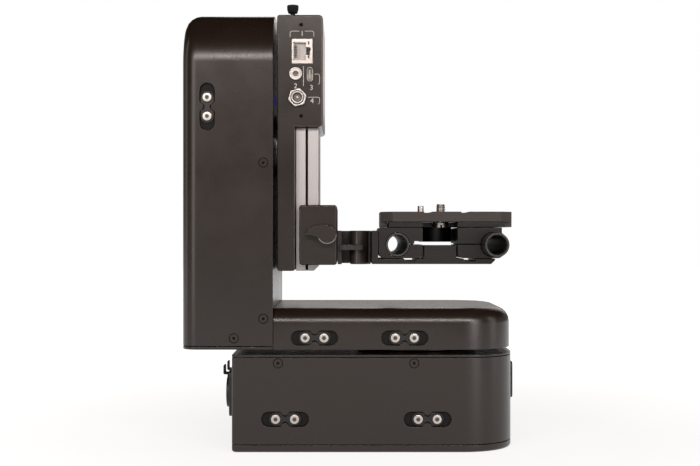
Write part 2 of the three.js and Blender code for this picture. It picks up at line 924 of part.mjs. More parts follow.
// The tall cover of the arm: a soft edge on its outer side, open towards the cradle
function towerCover() {
  const virtual = -softEdge * 3;
  const outer = softBar("x", (inset) => towerSide(virtual, inset), towerOuter, towerInner, softEdge, true);
  const inner = softBar(
    "x",
    (inset) => towerSide(virtual, inset + housingWall),
    towerOuter + housingWall,
    towerInner + overrun,
    softEdge - housingWall,
    true,
  );
  const far = housingDepth * 2;
  const trim = block(-far, 0, -far, far, virtual * 2, towerCoverBottom);
  return cut(outer, inner, trim, pocketCut(towerPocketX, towerPocketHeight, true));
}

function towerBottom() {
  const radii = [softEdge, 0, 0, softEdge];
  const outline = roundedRectangle(towerOuter, -halfDepth, towerInner, halfDepth, radii);
  return extrude("z", outline, 0, towerBottomThickness);
}

const sideOuter = towerInner;
const sideInner = towerInner - sidePlateThickness;
const bearingEnd = sideInner - bearingHeight;

// The plate that closes the tower, with a rim behind its edge and the seat of the tilt bearing
function towerSidePlate() {
  const gap = housingWall + seatGap;
  const low = floorTop + seatGap;
  const virtual = low - softEdge * 3;
  const outline = towerSide(virtual, gap);
  const inside = towerSide(virtual, gap + rimThickness);
  const plate = extrude("x", outline, sideInner, sideOuter);
  const rim = extrude("x", outline, sideInner - sideRimDepth, sideInner + sidePlateThickness / 2, [inside]);
  const bossRadius = tiltBearingRadius + seatGap + bossWall;
  const round = (radius, from, to) => bar("x", 0, tiltHeight, radius, from, to, largeRound);
  const boss = round(bossRadius, bearingEnd, sideOuter - sidePlateThickness / 2);
  const seat = round(tiltBearingRadius + seatGap, bearingEnd - overrun, sideInner);
  const bore = round(tiltShaftRadius + seatGap, bearingEnd, sideOuter + overrun);
  const far = housingDepth * 2;
  const trim = block(-far, 0, -far, far, virtual - far, low);
  return cut(join(plate, rim, boss), seat, bore, trim, windowCut(seatGap));
}

const windowY = -innerDepth + windowInset;
const windowZ = tiltHeight + windowHeightAbove;

function windowCut(grow) {
  const half = windowWidth / 2 + grow;
  const tall = windowHeight / 2 + grow;
  const corner = Math.min(half, tall) * roundEndShare;
  const outline = plainRectangle(windowY - half, windowZ - tall, windowY + half, windowZ + tall, corner);
  const depth = sidePlateThickness + sideRimDepth + (grow > 0 ? overrun : -sideRimDepth);
  return extrude("x", outline, sideOuter - depth, sideOuter + (grow > 0 ? overrun : 0));
}

const tiltPulleyRight = bearingEnd - seatGap;
const tiltPulleyLeft = tiltPulleyRight - pulleyTotal;
const tiltShaftEnd = tiltPulleyLeft - shaftBelow;
const tiltMountRight = tiltPulleyLeft - shaftBelow - seatGap * 2;
const tiltMountLeft = tiltMountRight - mountThickness;
const tiltMotorRight = tiltMountLeft - seatGap;
const tiltMotorLeft = towerOuter + housingWall + seatGap * 2;

function tiltMotorMount() {
  const low = tiltHeight + tiltMountBottom;
  const high = towerHeight - tiltMountHeadroom;
  const clearance = endRadius / 2;
  const half = innerDepth - clearance;
  const left = towerPocketX - barHeight;
  const inside = innerDepth - mountFlangeThickness;
  const [from, to] = [towerPocketHeight - barLength / 2, towerPocketHeight + barLength / 2];
  const plate = block(tiltMountLeft, tiltMountRight, -innerDepth, innerDepth, low, to);
  const upper = block(tiltMountLeft, tiltMountRight, -half, half, low, high);
  const front = block(left, tiltMountRight, -innerDepth, -inside, from, to);
  const back = block(left, tiltMountRight, inside, innerDepth, from, to);
  const reach = motorBossRadius + seatGap;
  const hole = bar("x", 0, tiltMotorZ, reach, tiltMountLeft - overrun, tiltMountRight + overrun);
  return cut(join(plate, upper, front, back), hole);
}

// The cradle is drawn from the tilt axis where it leaves the tower
const cradleGroup = new THREE.Group();
cradleGroup.position.set(towerInner, 0, armBottom + tiltHeight);

function tiltShaft() {
  const flangeRight = cradleGap - seatGap;
  const profile = [
    [tiltShaftBore, tiltShaftEnd - towerInner],
    [tiltShaftRadius, tiltShaftEnd - towerInner],
    [tiltShaftRadius, flangeRight - tiltFlangeThickness],
    [tiltFlangeRadius, flangeRight - tiltFlangeThickness],
    [tiltFlangeRadius, flangeRight],
    [tiltShaftBore, flangeRight],
  ];
  return revolve("x", profile, 0, 0, 0, largeRound);
}

function tiltPulley() {
  const profile = pulleyProfile(tiltPulleyRadius, tiltShaftRadius + seatGap);
  return revolve("x", profile, tiltPulleyLeft - towerInner, 0, 0);
}

const plateHalf = tiltPlateHeight / 2;
const plateFront = -tiltPlateDepth / 2;
const plateRight = cradleGap + tiltPlateThickness;
const boxRight = plateRight + boxWidth;
const boxLow = plateHalf - boxHeight;
const boxBack = plateFront + boxDepth;
const cavityRight = boxRight - boxCoverThickness - seatGap;

// The upright plate with the connector housing on its upper part, as one machined piece
function tiltPlate() {
  const outline = plainRectangle(cradleGap, -plateHalf, plateRight, plateHalf, tiltPlateCorner, 2);
  const plate = extrude("y", outline, plateFront, -plateFront, [], tiltPlateBevel);
  const boxOutline = plainRectangle(cradleGap, boxLow, boxRight, plateHalf, boxCorner, 2);
  const housing = extrude("y", boxOutline, plateFront, boxBack, [], boxBevel);
  const cavity = block(
    cradleGap + boxWall,
    boxRight + overrun,
    plateFront + boxWall,
    boxBack - boxWall,
    boxLow + boxWall,
    plateHalf - boxWall,
  );
  const lid = block(
    cavityRight,
    boxRight + overrun,
    plateFront + boxSeat,
    boxBack - boxSeat,
    boxLow + boxSeat,
    plateHalf - boxSeat,
  );
  const bore = bar("x", 0, 0, tiltShaftBore, cradleGap - overrun, cradleGap + tiltPlateThickness / 2);
  return cut(join(plate, housing), cavity, lid, bore, plungerSeat(), ...socketHoles());
}

// The side cover, let into the housing so that the front face has no seam
function boxCover() {
  const inset = boxSeat + seatGap;
  const [front, back] = [plateFront + inset, boxBack - inset];
  const outline = plainRectangle(front, boxLow + inset, back, plateHalf - inset, boxCorner, 2);
  return extrude("x", outline, boxRight - boxCoverThickness, boxRight, [], boxBevel / 2);
}

const panelBack = plateFront + boxWall;

function frontHole(outline) {
  return extrude("y", outline, plateFront - overrun, panelBack + overrun);
}

function socketHoles() {
  const screws = [panelHoleTop, panelHoleBottom].map((z) =>
    extrude("y", circle(panelHoleX, z, panelHole, fineRound), plateFront - overrun, panelBack + overrun),
  );
  return [
    frontHole(networkOutline(seatGap)),
    frontHole(circle(jackX, jackZ, jackBodyRadius + seatGap)),
    frontHole(usbOutline(seatGap)),
    frontHole(circle(dcX, dcZ, dcBarrelRadius + seatGap)),
    ...screws,
  ];
}

function networkOutline(grow) {
  const half = networkWidth / 2 + grow;
  const tall = networkHeight / 2 + grow;
  return plainRectangle(networkX - half, networkZ - tall, networkX + half, networkZ + tall);
}

// A network socket lying on its side, with its latch notch towards the right
function networkSocket() {
  const body = extrude("y", networkOutline(0), plateFront, plateFront + networkLength);
  const left = networkX - networkWidth / 2 + networkShell;
  const right = left + networkOpeningWidth;
  const tall = networkOpening / 2;
  const end = plateFront + networkPocket;
  const front = plateFront - overrun;
  const opening = block(left, right, front, end, networkZ - tall, networkZ + tall);
  const notchTall = networkLatchHeight / 2;
  const notchRight = right + networkLatchWidth;
  const notch = block(right - seatGap, notchRight, front, end, networkZ - notchTall, networkZ + notchTall);
  return cut(body, opening, notch);
}

function jackSocket() {
  const front = plateFront - seatGap - jackRim;
  const profile = [
    [0, jackBoreDepth],
    [jackBore, jackBoreDepth],
    [jackBore, 0],
    [jackRadius, 0],
    [jackRadius, jackRim],
    [jackBodyRadius, jackRim],
    [jackBodyRadius, jackLength],
    [0, jackLength],
  ];
  return revolve("y", profile, jackX, front, jackZ);
}

function usbOutline(grow) {
  const half = usbWidth / 2 + grow;
  const tall = usbHeight / 2 + grow;
  return plainRectangle(usbX - half, usbZ - tall, usbX + half, usbZ + tall, half * roundEndShare);
}

function usbSocket() {
  const front = plateFront - usbProud;
  const end = front + usbLength;
  const shell = extrude("y", usbOutline(0), front, end);
  const inside = extrude("y", usbOutline(-usbWall), front - overrun, end - usbWall);
  const half = usbTongue / 2;
  const tall = usbTongueHeight / 2;
  const tongueFront = front + usbTongueInset;
  const tongue = block(usbX - half, usbX + half, tongueFront, end - usbWall / 2, usbZ - tall, usbZ + tall);
  return join(cut(shell, inside), tongue);
}

function powerSocket() {
  const front = plateFront - dcProud;
  const profile = [
    [0, dcPinInset],
    [dcPinRadius, dcPinInset],
    [dcPinRadius, dcBoreDepth],
    [dcBore, dcBoreDepth],
    [dcBore, 0],
    [dcBarrelRadius, 0],
    [dcBarrelRadius, dcLength],
    [0, dcLength],
  ];
  return revolve("y", profile, dcX, front, dcZ);
}

function powerSocketNut() {
  const outline = arcPoints(dcX, dcZ, dcNutRadius, dcNutTurn, dcNutTurn + Math.PI * 2, 6).slice(0, 6);
  const hole = circle(dcX, dcZ, dcBarrelRadius + seatGap);
  const back = plateFront - seatGap;
  return extrude("y", outline, back - dcNutThickness, back, [hole]);
}

// The board stands upright beside the sockets, just inside the cover
function connectorBoard() {
  const left = Math.max(networkX + networkWidth / 2, usbX + usbWidth / 2) + seatGap;
  const front = panelBack + connectorBoardFront;
  const back = front + connectorBoardDepth;
  const low = (boxLow + plateHalf - connectorBoardHeight) / 2;
  return block(left, left + boardThickness, front, back, low, low + connectorBoardHeight);
}

function plungerSeat() {
  const floor = plateHalf - plungerDepth;
  return bar("z", plungerX, knobY, plungerRadius + seatGap, floor - seatGap, plateHalf + overrun);
}

// The threaded sleeve of the pull knob, with a hexagon that rests on the plate
function plungerBody() {
  const floor = plateHalf - plungerDepth;
  const sleeve = bar("z", plungerX, knobY, plungerRadius, floor, plateHalf + seatGap * 2);
  const hexagon = arcPoints(plungerX, knobY, plungerHexRadius, 0, Math.PI * 2, 6).slice(0, 6);
  const collar = extrude("z", hexagon, plateHalf + seatGap, plateHalf + seatGap + plungerHexHeight);
  const boreTop = plateHalf + plungerHexHeight + overrun;
  const bore = bar("z", plungerX, knobY, plungerPin + seatGap, floor - overrun, boreTop);
  return cut(join(sleeve, collar), bore);
}

function pullKnob() {
  const low = plateHalf + knobLift;
  const pinLow = plateHalf - plungerDepth + plungerPinProud;
  const profile = [
    [0, pinLow],
    [plungerPin, pinLow],
    [plungerPin, low],
    [knobBottomRadius, low],
    [knobTopRadius, low + knobHeight - seatGap],
    [knobTopRadius - seatGap, low + knobHeight],
    [0, low + knobHeight],
  ];
  return revolve("z", profile, plungerX, knobY, 0);
}

const railLeft = plateRight + seatGap;
const railFace = railLeft + railBase + railNeck + railHead;
const railNear = plateFront + railFront;
const railFar = railNear + railDepth;

// The bright dovetail rail, drawn in X and Y and running up the plate
function heightRail() {
  const neckLeft = railLeft + railBase;
  const headLeft = neckLeft + railNeck;
  const outline = [
    [railLeft, railNear],
    [neckLeft, railNear],
    [neckLeft, railNear + railNeckInset],
    [headLeft, railNear + railNeckInset],
    [headLeft, railNear],
    [railFace, railNear],
    [railFace, railFar],
    [headLeft, railFar],
    [headLeft, railFar - railNeckInset],
    [neckLeft, railFar - railNeckInset],
    [neckLeft, railFar],
    [railLeft, railFar],
  ].map(([x, y]) => new THREE.Vector2(x, y));
  const rail = extrude("z", outline, -plateHalf, boxLow - seatGap);
  const corner = [
    [railFace - railChamfer, -plateHalf - overrun],
    [railFace + overrun, -plateHalf - overrun],
    [railFace + overrun, -plateHalf + railChamfer + overrun],
    [railFace - railChamfer, -plateHalf],
  ].map(([x, z]) => new THREE.Vector2(x, z));
  return cut(rail, extrude("y", corner, railNear - overrun, railFar + overrun));
}

const carriageGroup = new THREE.Group();
carriageGroup.position.set(0, 0, -carriageDrop);

const carriageNear = railNear - carriageFront - railNeckInset - seatGap;
const carriageFar = carriageNear + carriageDepth;
const carriageRight = carriageLeft + carriageWidth;
const carriageHalf = carriageHeight / 2;

// The block that grips the rail from the front, round its head and into its neck
function carriageBlock() {
  const outline = plainRectangle(carriageLeft, -carriageHalf, carriageRight, carriageHalf, carriageCorner, 2);
  const body = extrude("y", outline, carriageNear, carriageFar, [], carriageBevel);
  const neckLeft = railLeft + railBase;
  const headLeft = neckLeft + railNeck;
  const far = carriageHalf + overrun;
  const near = railNear - seatGap;
  const back = railFar + seatGap;
  const head = block(headLeft - seatGap, railFace + seatGap, near, back, -far, far);
  const neck = block(
    neckLeft,
    headLeft + seatGap,
    railNear + railNeckInset - seatGap,
    railFar - railNeckInset + seatGap,
    -far,
    far,
  );
  const base = block(carriageLeft - overrun, neckLeft + seatGap, near, back, -far, far);
  return cut(body, head, neck, base, leverBore());
}

const leverBack = carriageNear - seatGap;

function leverBore() {
  const depth = leverStudDepth + seatGap;
  return bar("y", leverX, leverZ, leverStud + seatGap, carriageNear - overrun, carriageNear + depth);
}

// A round hub with a teardrop handle and a stud that turns in the block
function clampLever() {
  const hub = revolve(
    "y",
    [
      [0, 0],
      [leverHubRadius - smallCorner / 2, 0],
      [leverHubRadius, smallCorner / 2],
      [leverHubRadius, leverHubThickness],
      [0, leverHubThickness],
    ],
    leverX,
    leverBack - leverHubThickness,
    leverZ,
    largeRound,
  );
  const tip = { x: leverX - leverReach + leverTipRadius, y: leverZ, radius: leverTipRadius };
  const root = { x: leverX, y: leverZ, radius: leverHubRadius - smallCorner };
  const front = leverBack - leverHubThickness + smallCorner / 2;
  const handle = extrude("y", hullOfCircles(root, tip, 0), front, front + leverThickness);
  const stud = bar("y", leverX, leverZ, leverStud, leverBack - smallCorner, carriageNear + leverStudDepth);
  return join(hub, handle, stud);
}

// The bracket that joins the carriage to the platform: a flange, a web, a rounded body and a back wall
function sideBracket() {
  const left = carriageRight + seatGap;
  const low = carriageHalf - carriageHeight + seatGap;
  const high = low + bracketHeight;
  const near = carriageNear + bracketFront;
  const far = near + bracketDepth;
  const flange = block(left, left + bracketFlange, near, far, low, high);
  const bodyLeft = left + bracketBodyLeft;
  const bodyRight = bodyLeft + bracketBodyWidth;
  const round = bracketBodyWidth / 2;
  const bodyPlan = roundedRectangle(bodyLeft, near, bodyRight, far, [round, round, 0, 0], edgeSteps + 1);
  const body = extrude("z", bodyPlan, low, high);
  const [ribLow, ribHigh] = [(low + high - bracketRib) / 2, (low + high + bracketRib) / 2];
  const web = block(left, left + bracketWidth, near + round, far, ribLow, ribHigh);
  const ribRight = left + bracketFlange + bracketRibWidth;
  const ribNear = near - bracketRibFront;
  const rib = block(left + bracketFlange / 2, ribRight, ribNear, far, ribLow, ribHigh);
  const neck = block(bodyRight - round / 2, left + bracketWidth, near + round, far, low, high);
  const back = block(left, bodyRight, far - bracketBackWall, far, low, high);
  return join(flange, body, web, rib, neck, back);
}

// The platform is drawn from the middle between the rods, at its front face
const platformGroup = new THREE.Group();
const rodX = rodSpacing / 2;
const platformX = carriageRight + seatGap + bracketWidth + seatGap + rodX + rodBaseLeft;
platformGroup.position.set(platformX, carriageNear - platformAhead, -rodDrop);

const pocketFloor = -clampDrop - seatGap;
const leftClampEnd = -rodX - clampOuter;
const leftClampStart = -leftClampInner;
const lockX = (leftClampStart + rightClampInner) / 2;
const lockRadius = (rightClampInner - leftClampStart) / 2 - lockClear;
const bayEnd = screwY + screwHeadRadius + screwTravel;
const lockY = bayEnd + seatGap * 2 + lockRadius;

// The lower plate, with a shallow bay for each clamp and an upstand for the side bracket
function rodBase() {
  const low = -rodBaseDrop;
  const groove = -clampDrop - clampPadGap;
  const [left, right] = [-rodX - rodBaseLeft, rodX + rodBaseRight];
  const rightBay = rightClampInner - pocketClear;
  const leftBay = pocketClear + leftClampStart;
  const rightGroove = rightClampInner + clampPadShift;
  const leftGroove = leftClampStart - clampPadShift;
  const outline = [
    [left, low],
    [right - rodBaseChamfer, low],
    [right, low + rodBaseChamfer],
    [right, pocketFloor],
    [rightGroove + clampPadWidth, pocketFloor],
    [rightGroove + clampPadWidth, groove],
    [rightGroove, groove],
    [rightGroove, pocketFloor],
    [rightBay, pocketFloor],
    [rightBay, -rodBaseRise],
    [leftBay, -rodBaseRise],
    [leftBay, pocketFloor],
    [leftGroove, pocketFloor],
    [leftGroove, groove],
    [leftGroove - clampPadWidth, groove],
    [leftGroove - clampPadWidth, pocketFloor],
    [left + upstandThickness, pocketFloor],
    [left + upstandThickness, upstandRise],
    [left, upstandRise],
  ].map(([x, z]) => new THREE.Vector2(x, z));
  return extrude("y", outline, 0, platformDepth);
}

// The solid block of a rod clamp, with larger corners below
function clampBlank(left, right) {
  const small = clampCorner / 3;
  const radii = [clampCorner, clampCorner, small, small];
  return extrude("y", roundedRectangle(left, -clampDrop, right, clampRise, radii, 3), 0, platformDepth);
}

// A block split from its bore to its inner end, so that it pinches the rod
function splitClamp(blank, middle, inner) {
  const end = inner + Math.sign(inner - middle) * overrun;
  const [from, to] = [Math.min(middle, end), Math.max(middle, end)];
  const [front, back] = [-overrun, platformDepth + overrun];
  const bore = bar("y", middle, 0, rodRadius + seatGap, front, back);
  return cut(blank, bore, block(from, to, front, back, 0, clampSlit));
}

// The left clamp has a mouth at the inner end of its slit
function leftRodClamp() {
  const clamp = splitClamp(clampBlank(leftClampEnd, leftClampStart), -rodX, leftClampStart);
  const [from, to] = [leftClampStart - clampMouthLength, leftClampStart + overrun];
  return cut(clamp, block(from, to, -overrun, platformDepth + overrun, 0, clampMouthHeight));
}

// The right clamp ends close past its rod, with only a thin collar round the outer side
function rightRodClamp() {
  const [front, back] = [-overrun, platformDepth + overrun];
  const left = rightClampInner - overrun;
  const upper = block(left, rodX + rightClampReach, front, back, 0, clampRise + overrun);
  const lower = block(left, rodX + rodBaseRight, front, back, -clampDrop - overrun, 0);
  const collar = bar("y", rodX, 0, rightClampCollar, front, back, largeRound);
  const blank = clampBlank(rightClampInner, rodX + rightClampCollar + clampCorner);
  return splitClamp(blank.intersect(join(upper, lower, collar)), rodX, rightClampInner);
}

const bridgeLow = clampRise + seatGap;
const bridgeHigh = bridgeLow + bridgeThickness;
const cameraPlateLow = bridgeHigh + seatGap;
const cameraPlateHigh = cameraPlateLow + plateThickness;

// The plate that joins the clamps, open in front for the camera screw, with the round lock boss
function bridgePlate() {
  const half = plateWidth / 2 - plateLipWidth - bridgeInset;
  const slab = block(plateShift - half, plateShift + half, 0, platformDepth, bridgeLow, bridgeHigh);
  const [bayLow, bayHigh] = [bridgeLow - overrun, bridgeHigh + overrun];
  const bay = block(leftClampStart, rightClampInner, -overrun, bayEnd, bayLow, bayHigh);
  const boss = bar("z", lockX, lockY, lockRadius, lockDrop, bridgeHigh - bridgeThickness / 2, largeRound);
  return join(cut(slab, bay), boss);
}

function rodTube(middle, front) {
  return extrude("y", circle(middle, 0, rodRadius), front, front + rodLength, [circle(middle, 0, rodBore)]);
}

// The plate that the camera stands on: chamfered corners, side lips and two shallow grooves
function cameraPlate() {
  const [left, right] = [plateShift - plateWidth / 2, plateShift + plateWidth / 2];
  const outline = roundedRectangle(left, 0, right, platformDepth, Array(4).fill(plateChamfer), 1);
  const slab = extrude("z", outline, cameraPlateLow, cameraPlateHigh);
  const lipEnd = platformDepth - plateChamfer;
  const lipLow = cameraPlateLow - plateLipDrop;
  const lipTop = cameraPlateLow + plateThickness / 2;
  const leftLip = block(left, left + plateLipWidth, plateChamfer, lipEnd, lipLow, lipTop);
  const rightLip = block(right - plateLipWidth, right, plateChamfer, lipEnd, lipLow, lipTop);
  const grooves = [plateShift - plateGrooveShift, plateShift + plateGrooveShift].map((x) =>
    block(
      x - plateGroove / 2,
      x + plateGroove / 2,
      -overrun,
      platformDepth + overrun,
      cameraPlateHigh - plateGrooveDepth,
      cameraPlateHigh + overrun,
    ),
  );
  const wide = screwRadius + seatGap;
  const long = screwSlotLength / 2;
  const [slotLeft, slotRight] = [screwX - wide, screwX + wide];
  const slotOutline = plainRectangle(slotLeft, screwY - long, slotRight, screwY + long, wide * roundEndShare);
  const slot = extrude("z", slotOutline, cameraPlateLow - overrun, cameraPlateHigh + overrun);
  const pinFloor = cameraPlateHigh - pinDepth - seatGap;
  const pinHole = bar("z", pinX, screwY, pinRadius + seatGap, pinFloor, cameraPlateHigh + overrun, fineRound);
  return cut(join(slab, leftLip, rightLip), ...grooves, slot, pinHole);
}

function cameraScrew() {
  const headTop = cameraPlateLow - seatGap;
  const headLow = headTop - screwHeadHeight;
  const top = cameraPlateHigh + screwHeight;
  const tipShare = 0.3;
  const profile = [
    [0, headLow],
    [screwHeadRadius, headLow],
    [screwHeadRadius, headTop],
    [screwRadius, headTop],
    [screwRadius, top - screwRadius * tipShare],
    [screwRadius * (1 - tipShare), top],
    [0, top],
  ];
  const screw = revolve("z", profile, screwX, screwY, 0);
  const deep = screwHeadHeight / 2;
  const reach = screwHeadRadius + overrun;
  const [left, right] = [screwX - screwDriveSlot / 2, screwX + screwDriveSlot / 2];
  return cut(screw, block(left, right, screwY - reach, screwY + reach, headLow - overrun, headLow + deep));
}

function locatingPin() {
  const low = cameraPlateHigh - pinDepth;
  const top = cameraPlateHigh + pinHeight;
  const ease = pinRadius / 4;
  const profile = [
    [0, low],
    [pinRadius, low],
    [pinRadius, top - ease],
    [pinRadius - ease, top],
    [0, top],
  ];
  return revolve("z", profile, pinX, screwY, 0);
}

function addBase(group) {
  const barPlaces = { left: basePocketLeft, right: basePocketRight };
  piece(group, "base_bottom_plate", bottomPlate(), "painted");
  piece(group, "base_housing", baseHousing(), "painted");
  piece(group, "base_top_plate", topPlate(), "painted");
  piece(group, "base_end_cover", endCover(), "anodised");
  for (const [side, x] of Object.entries(barPlaces)) {
    piece(group, `base_clamp_${side}`, clampBar(x, basePocketHeight, barFront), "anodised");
  }
  piece(group, "connector_panel", connectorPanel(), "anodised");
  piece(group, "power_connector", panelConnector(connectorPlaces[0]), "plastic");
  piece(group, "data_connector", panelConnector(connectorPlaces[1]), "plastic");
  piece(group, "power_latch", latchTab(connectorPlaces[0]), "plastic");
  piece(group, "data_latch", latchTab(connectorPlaces[1]), "plastic");
  const bearingRise = bearingTop - bearingBottom;
  const ring = bearing("z", shaftRadius + seatGap, bearingRadius, bearingBottom, bearingRise);
  piece(group, "pan_bearing", ring, "steel");
  piece(group, "pan_motor_mount", panMotorMount(), "anodised");
  const bossTop = motorTop + mountThickness;
  const motor = motorBody("z", basePocketLeft, 0, motorTop - motorLength, motorTop, bossTop);
  piece(group, "pan_motor", motor, "steel");
  const wheel = motorPulley("z", basePocketLeft, 0, panMotorPulleyRadius, panPulleyBottom, bossTop);
  piece(group, "pan_motor_pulley", wheel, "steel");
  const far = { x: 0, y: 0, radius: panPulleyRadius };
  const near = { x: basePocketLeft, y: 0, radius: panMotorPulleyRadius };
  const beltLow = panPulleyBottom + pulleyFlangeThickness + seatGap;
  piece(group, "pan_belt", beltLoop("z", far, near, pulleyWidth - seatGap * 2, beltLow), "rubber");
  piece(group, "slip_ring_bracket", slipRingBracket(), "anodised");
  piece(group, "slip_ring", slipRing(), "plastic");
  const board = boardSlab(boardLeft, boardLeft + boardLength, boardWidth / 2, bottomPlateThickness);
  piece(group, "control_board", board, "board");
}

function addArm(group) {
  const barPlaces = { left: footPocketLeft, right: footPocketRight };
  piece(group, "turntable", turntable(), "anodised");
  piece(group, "pan_pulley", panPulley(), "anodised");
  piece(group, "arm_floor", armFloor(), "anodised");
  piece(group, "foot_cover", footCover(), "painted");
  piece(group, "tower_cover", towerCover(), "painted");
  piece(group, "tower_bottom_plate", towerBottom(), "painted");
  piece(group, "tower_side_plate", towerSidePlate(), "painted");
  piece(group, "status_window", windowCut(0), "blue");
  for (const [side, x] of Object.entries(barPlaces)) {
    piece(group, `foot_clamp_${side}`, clampBar(x, footPocketHeight, barFront), "anodised");
  }
  piece(group, "tower_clamp", clampBar(towerPocketX, towerPocketHeight, barFront, true), "anodised");
  const rise = bearingHeight - seatGap * 2;
  const inner = tiltShaftRadius + seatGap;
  const ring = bearing("x", inner, tiltBearingRadius, bearingEnd, rise, 0, tiltHeight);
  piece(group, "tilt_bearing", ring, "steel");
  piece(group, "tilt_motor_mount", tiltMotorMount(), "anodised");
  const bossEnd = tiltMotorRight + mountThickness;
  const motor = motorBody("x", 0, tiltMotorZ, tiltMotorLeft, tiltMotorRight, bossEnd);
  piece(group, "tilt_motor", motor, "steel");
  const wheel = motorPulley("x", 0, tiltMotorZ, tiltMotorPulleyRadius, tiltPulleyLeft, bossEnd);
  piece(group, "tilt_motor_pulley", wheel, "steel");
  const far = { x: 0, y: tiltHeight, radius: tiltPulleyRadius };
  const near = { x: 0, y: tiltMotorZ, radius: tiltMotorPulleyRadius };
  const beltLeft = tiltPulleyLeft + pulleyFlangeThickness + seatGap;
  piece(group, "tilt_belt", beltLoop("x", far, near, pulleyWidth - seatGap * 2, beltLeft), "rubber");
}

function addCradle(group) {
  piece(group, "tilt_shaft", tiltShaft(), "steel");
  piece(group, "tilt_pulley", tiltPulley(), "anodised");
  piece(group, "tilt_plate", tiltPlate(), "painted");
  piece(group, "box_cover", boxCover(), "painted");
  piece(group, "connector_board", connectorBoard(), "board");
  piece(group, "network_socket", networkSocket(), "bright");
  piece(group, "jack_socket", jackSocket(), "bright");
  piece(group, "usb_socket", usbSocket(), "bright");
  piece(group, "power_socket", powerSocket(), "bright");
  piece(group, "power_socket_nut", powerSocketNut(), "bright");
  piece(group, "plunger_body", plungerBody(), "steel");
  piece(group, "pull_knob", pullKnob(), "plastic");
  piece(group, "height_rail", heightRail(), "bright");
}

function addCarriage(group) {
  piece(group, "carriage_block", carriageBlock(), "anodised");
  piece(group, "clamp_lever", clampLever(), "anodised");
  piece(group, "side_bracket", sideBracket(), "anodised");
}

function addPlatform(group) {
  piece(group, "rod_base", rodBase(), "anodised");
  piece(group, "left_rod_clamp", leftRodClamp(), "anodised");
  piece(group, "right_rod_clamp", rightRodClamp(), "anodised");
  piece(group, "bridge_plate", bridgePlate(), "anodised");
  piece(group, "left_rod", rodTube(-rodX, 0), "anodised");
  piece(group, "right_rod", rodTube(rodX, -rightRodForward), "anodised");
  piece(group, "camera_plate", cameraPlate(), "anodised");
  piece(group, "camera_screw", cameraScrew(), "steel");
  piece(group, "locating_pin", locatingPin(), "steel");
}

addBase(baseGroup);
addArm(armGroup);
addCradle(cradleGroup);
addCarriage(carriageGroup);
addPlatform(platformGroup);
carriageGroup.add(platformGroup);
cradleGroup.add(carriageGroup);

const head = new THREE.Group();
head.add(baseGroup, armGroup, cradleGroup);

export default head;
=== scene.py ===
"""Dresses a remote pan tilt head: the finish, edges, fasteners and small parts of each sub-assembly.

Sizes are millimetres and are turned to metres where a mesh is made. The frame is X to the
right of the front view, Y away from the front and Z up, with the pan axis as the Z axis.
"""

import json
import logging
import math
from dataclasses import dataclass, field
from enum import Enum
from typing import Iterable, Sequence

import bmesh
import bpy
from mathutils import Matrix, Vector
from mathutils.geometry import tessellate_polygon

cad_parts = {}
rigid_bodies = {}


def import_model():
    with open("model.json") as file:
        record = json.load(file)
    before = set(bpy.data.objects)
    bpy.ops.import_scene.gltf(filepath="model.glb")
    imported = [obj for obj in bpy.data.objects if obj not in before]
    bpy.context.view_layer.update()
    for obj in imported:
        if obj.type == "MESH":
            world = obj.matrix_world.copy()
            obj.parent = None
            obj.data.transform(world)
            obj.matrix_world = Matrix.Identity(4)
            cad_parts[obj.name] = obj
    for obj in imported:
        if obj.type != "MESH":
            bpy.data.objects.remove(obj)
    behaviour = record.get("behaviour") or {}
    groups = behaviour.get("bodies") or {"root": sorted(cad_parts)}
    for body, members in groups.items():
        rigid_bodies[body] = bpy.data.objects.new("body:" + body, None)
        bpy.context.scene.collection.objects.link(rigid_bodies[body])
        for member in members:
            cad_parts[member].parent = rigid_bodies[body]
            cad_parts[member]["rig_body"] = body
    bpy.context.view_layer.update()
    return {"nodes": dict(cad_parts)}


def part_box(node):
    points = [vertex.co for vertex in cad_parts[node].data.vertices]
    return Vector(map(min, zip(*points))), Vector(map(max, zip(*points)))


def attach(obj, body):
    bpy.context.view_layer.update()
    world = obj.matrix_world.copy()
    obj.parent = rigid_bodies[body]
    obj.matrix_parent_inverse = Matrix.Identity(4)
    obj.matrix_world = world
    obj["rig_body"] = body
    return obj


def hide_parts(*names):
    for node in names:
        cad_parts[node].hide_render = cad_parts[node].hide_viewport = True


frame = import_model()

MM = 0.001
# How near corners lie to be joined: in a node's own mesh, and in a shape made here.
WELD = 0.002 * MM
JOIN = 0.0001 * MM
# Faces that meet at less than the first are one face. Edges sharper than the second are eased.
FLAT_ANGLE = math.radians(0.5)
SHARP_ANGLE = math.radians(33)
FULL_TURN = 2 * math.pi
QUARTER_TURN = math.pi / 2

# How many flats go round turned and drilled shapes, from contacts to tubes.
TINY_FLATS = 16
BORE_FLATS = 32
SMALL_FLATS = 40
MEDIUM_FLATS = 48
FLATS = 64
FINE_FLATS = 96

# Where the faces with the sockets lie along Y, and how far ink stands out from them.
PANEL_FRONT = -54.0
INK_PROUD = 0.03

# How many chords a round edge or corner has.
EDGE_STEPS = 3
CORNER_STEPS = 6
ROUND_END_STEPS = 12

# How near an edge lies to the outside of a piece to take the larger radius of its rim.
RIM_REACH = 4.0
# The least that a mitred corner counts as open, so that a sharp one doesn't run away.
MITRE_LEAST = 0.2
# How many times as long as its round corner a side of a turned profile stays, at the least.
SIDE_PER_CORNER = 2.1

# A screw head's round edge as a share of its radius, the bend in the middle of that edge as a
# share of the edge, and the depth of its drive as a share of the head's height.
HEAD_EASE_SHARE = 0.12
BEND_SHARE = 0.3
DRIVE_DEPTH_SHARE = 0.6

# A thread's depth as a share of its pitch, how its flanks rise between flat crest and flat root,
# and how many outlines it has to a turn.
THREAD_DEPTH_SHARE = 0.54
FLANK_SLOPE = 1.4
FLANK_START = 0.2
THREAD_STEPS = 10
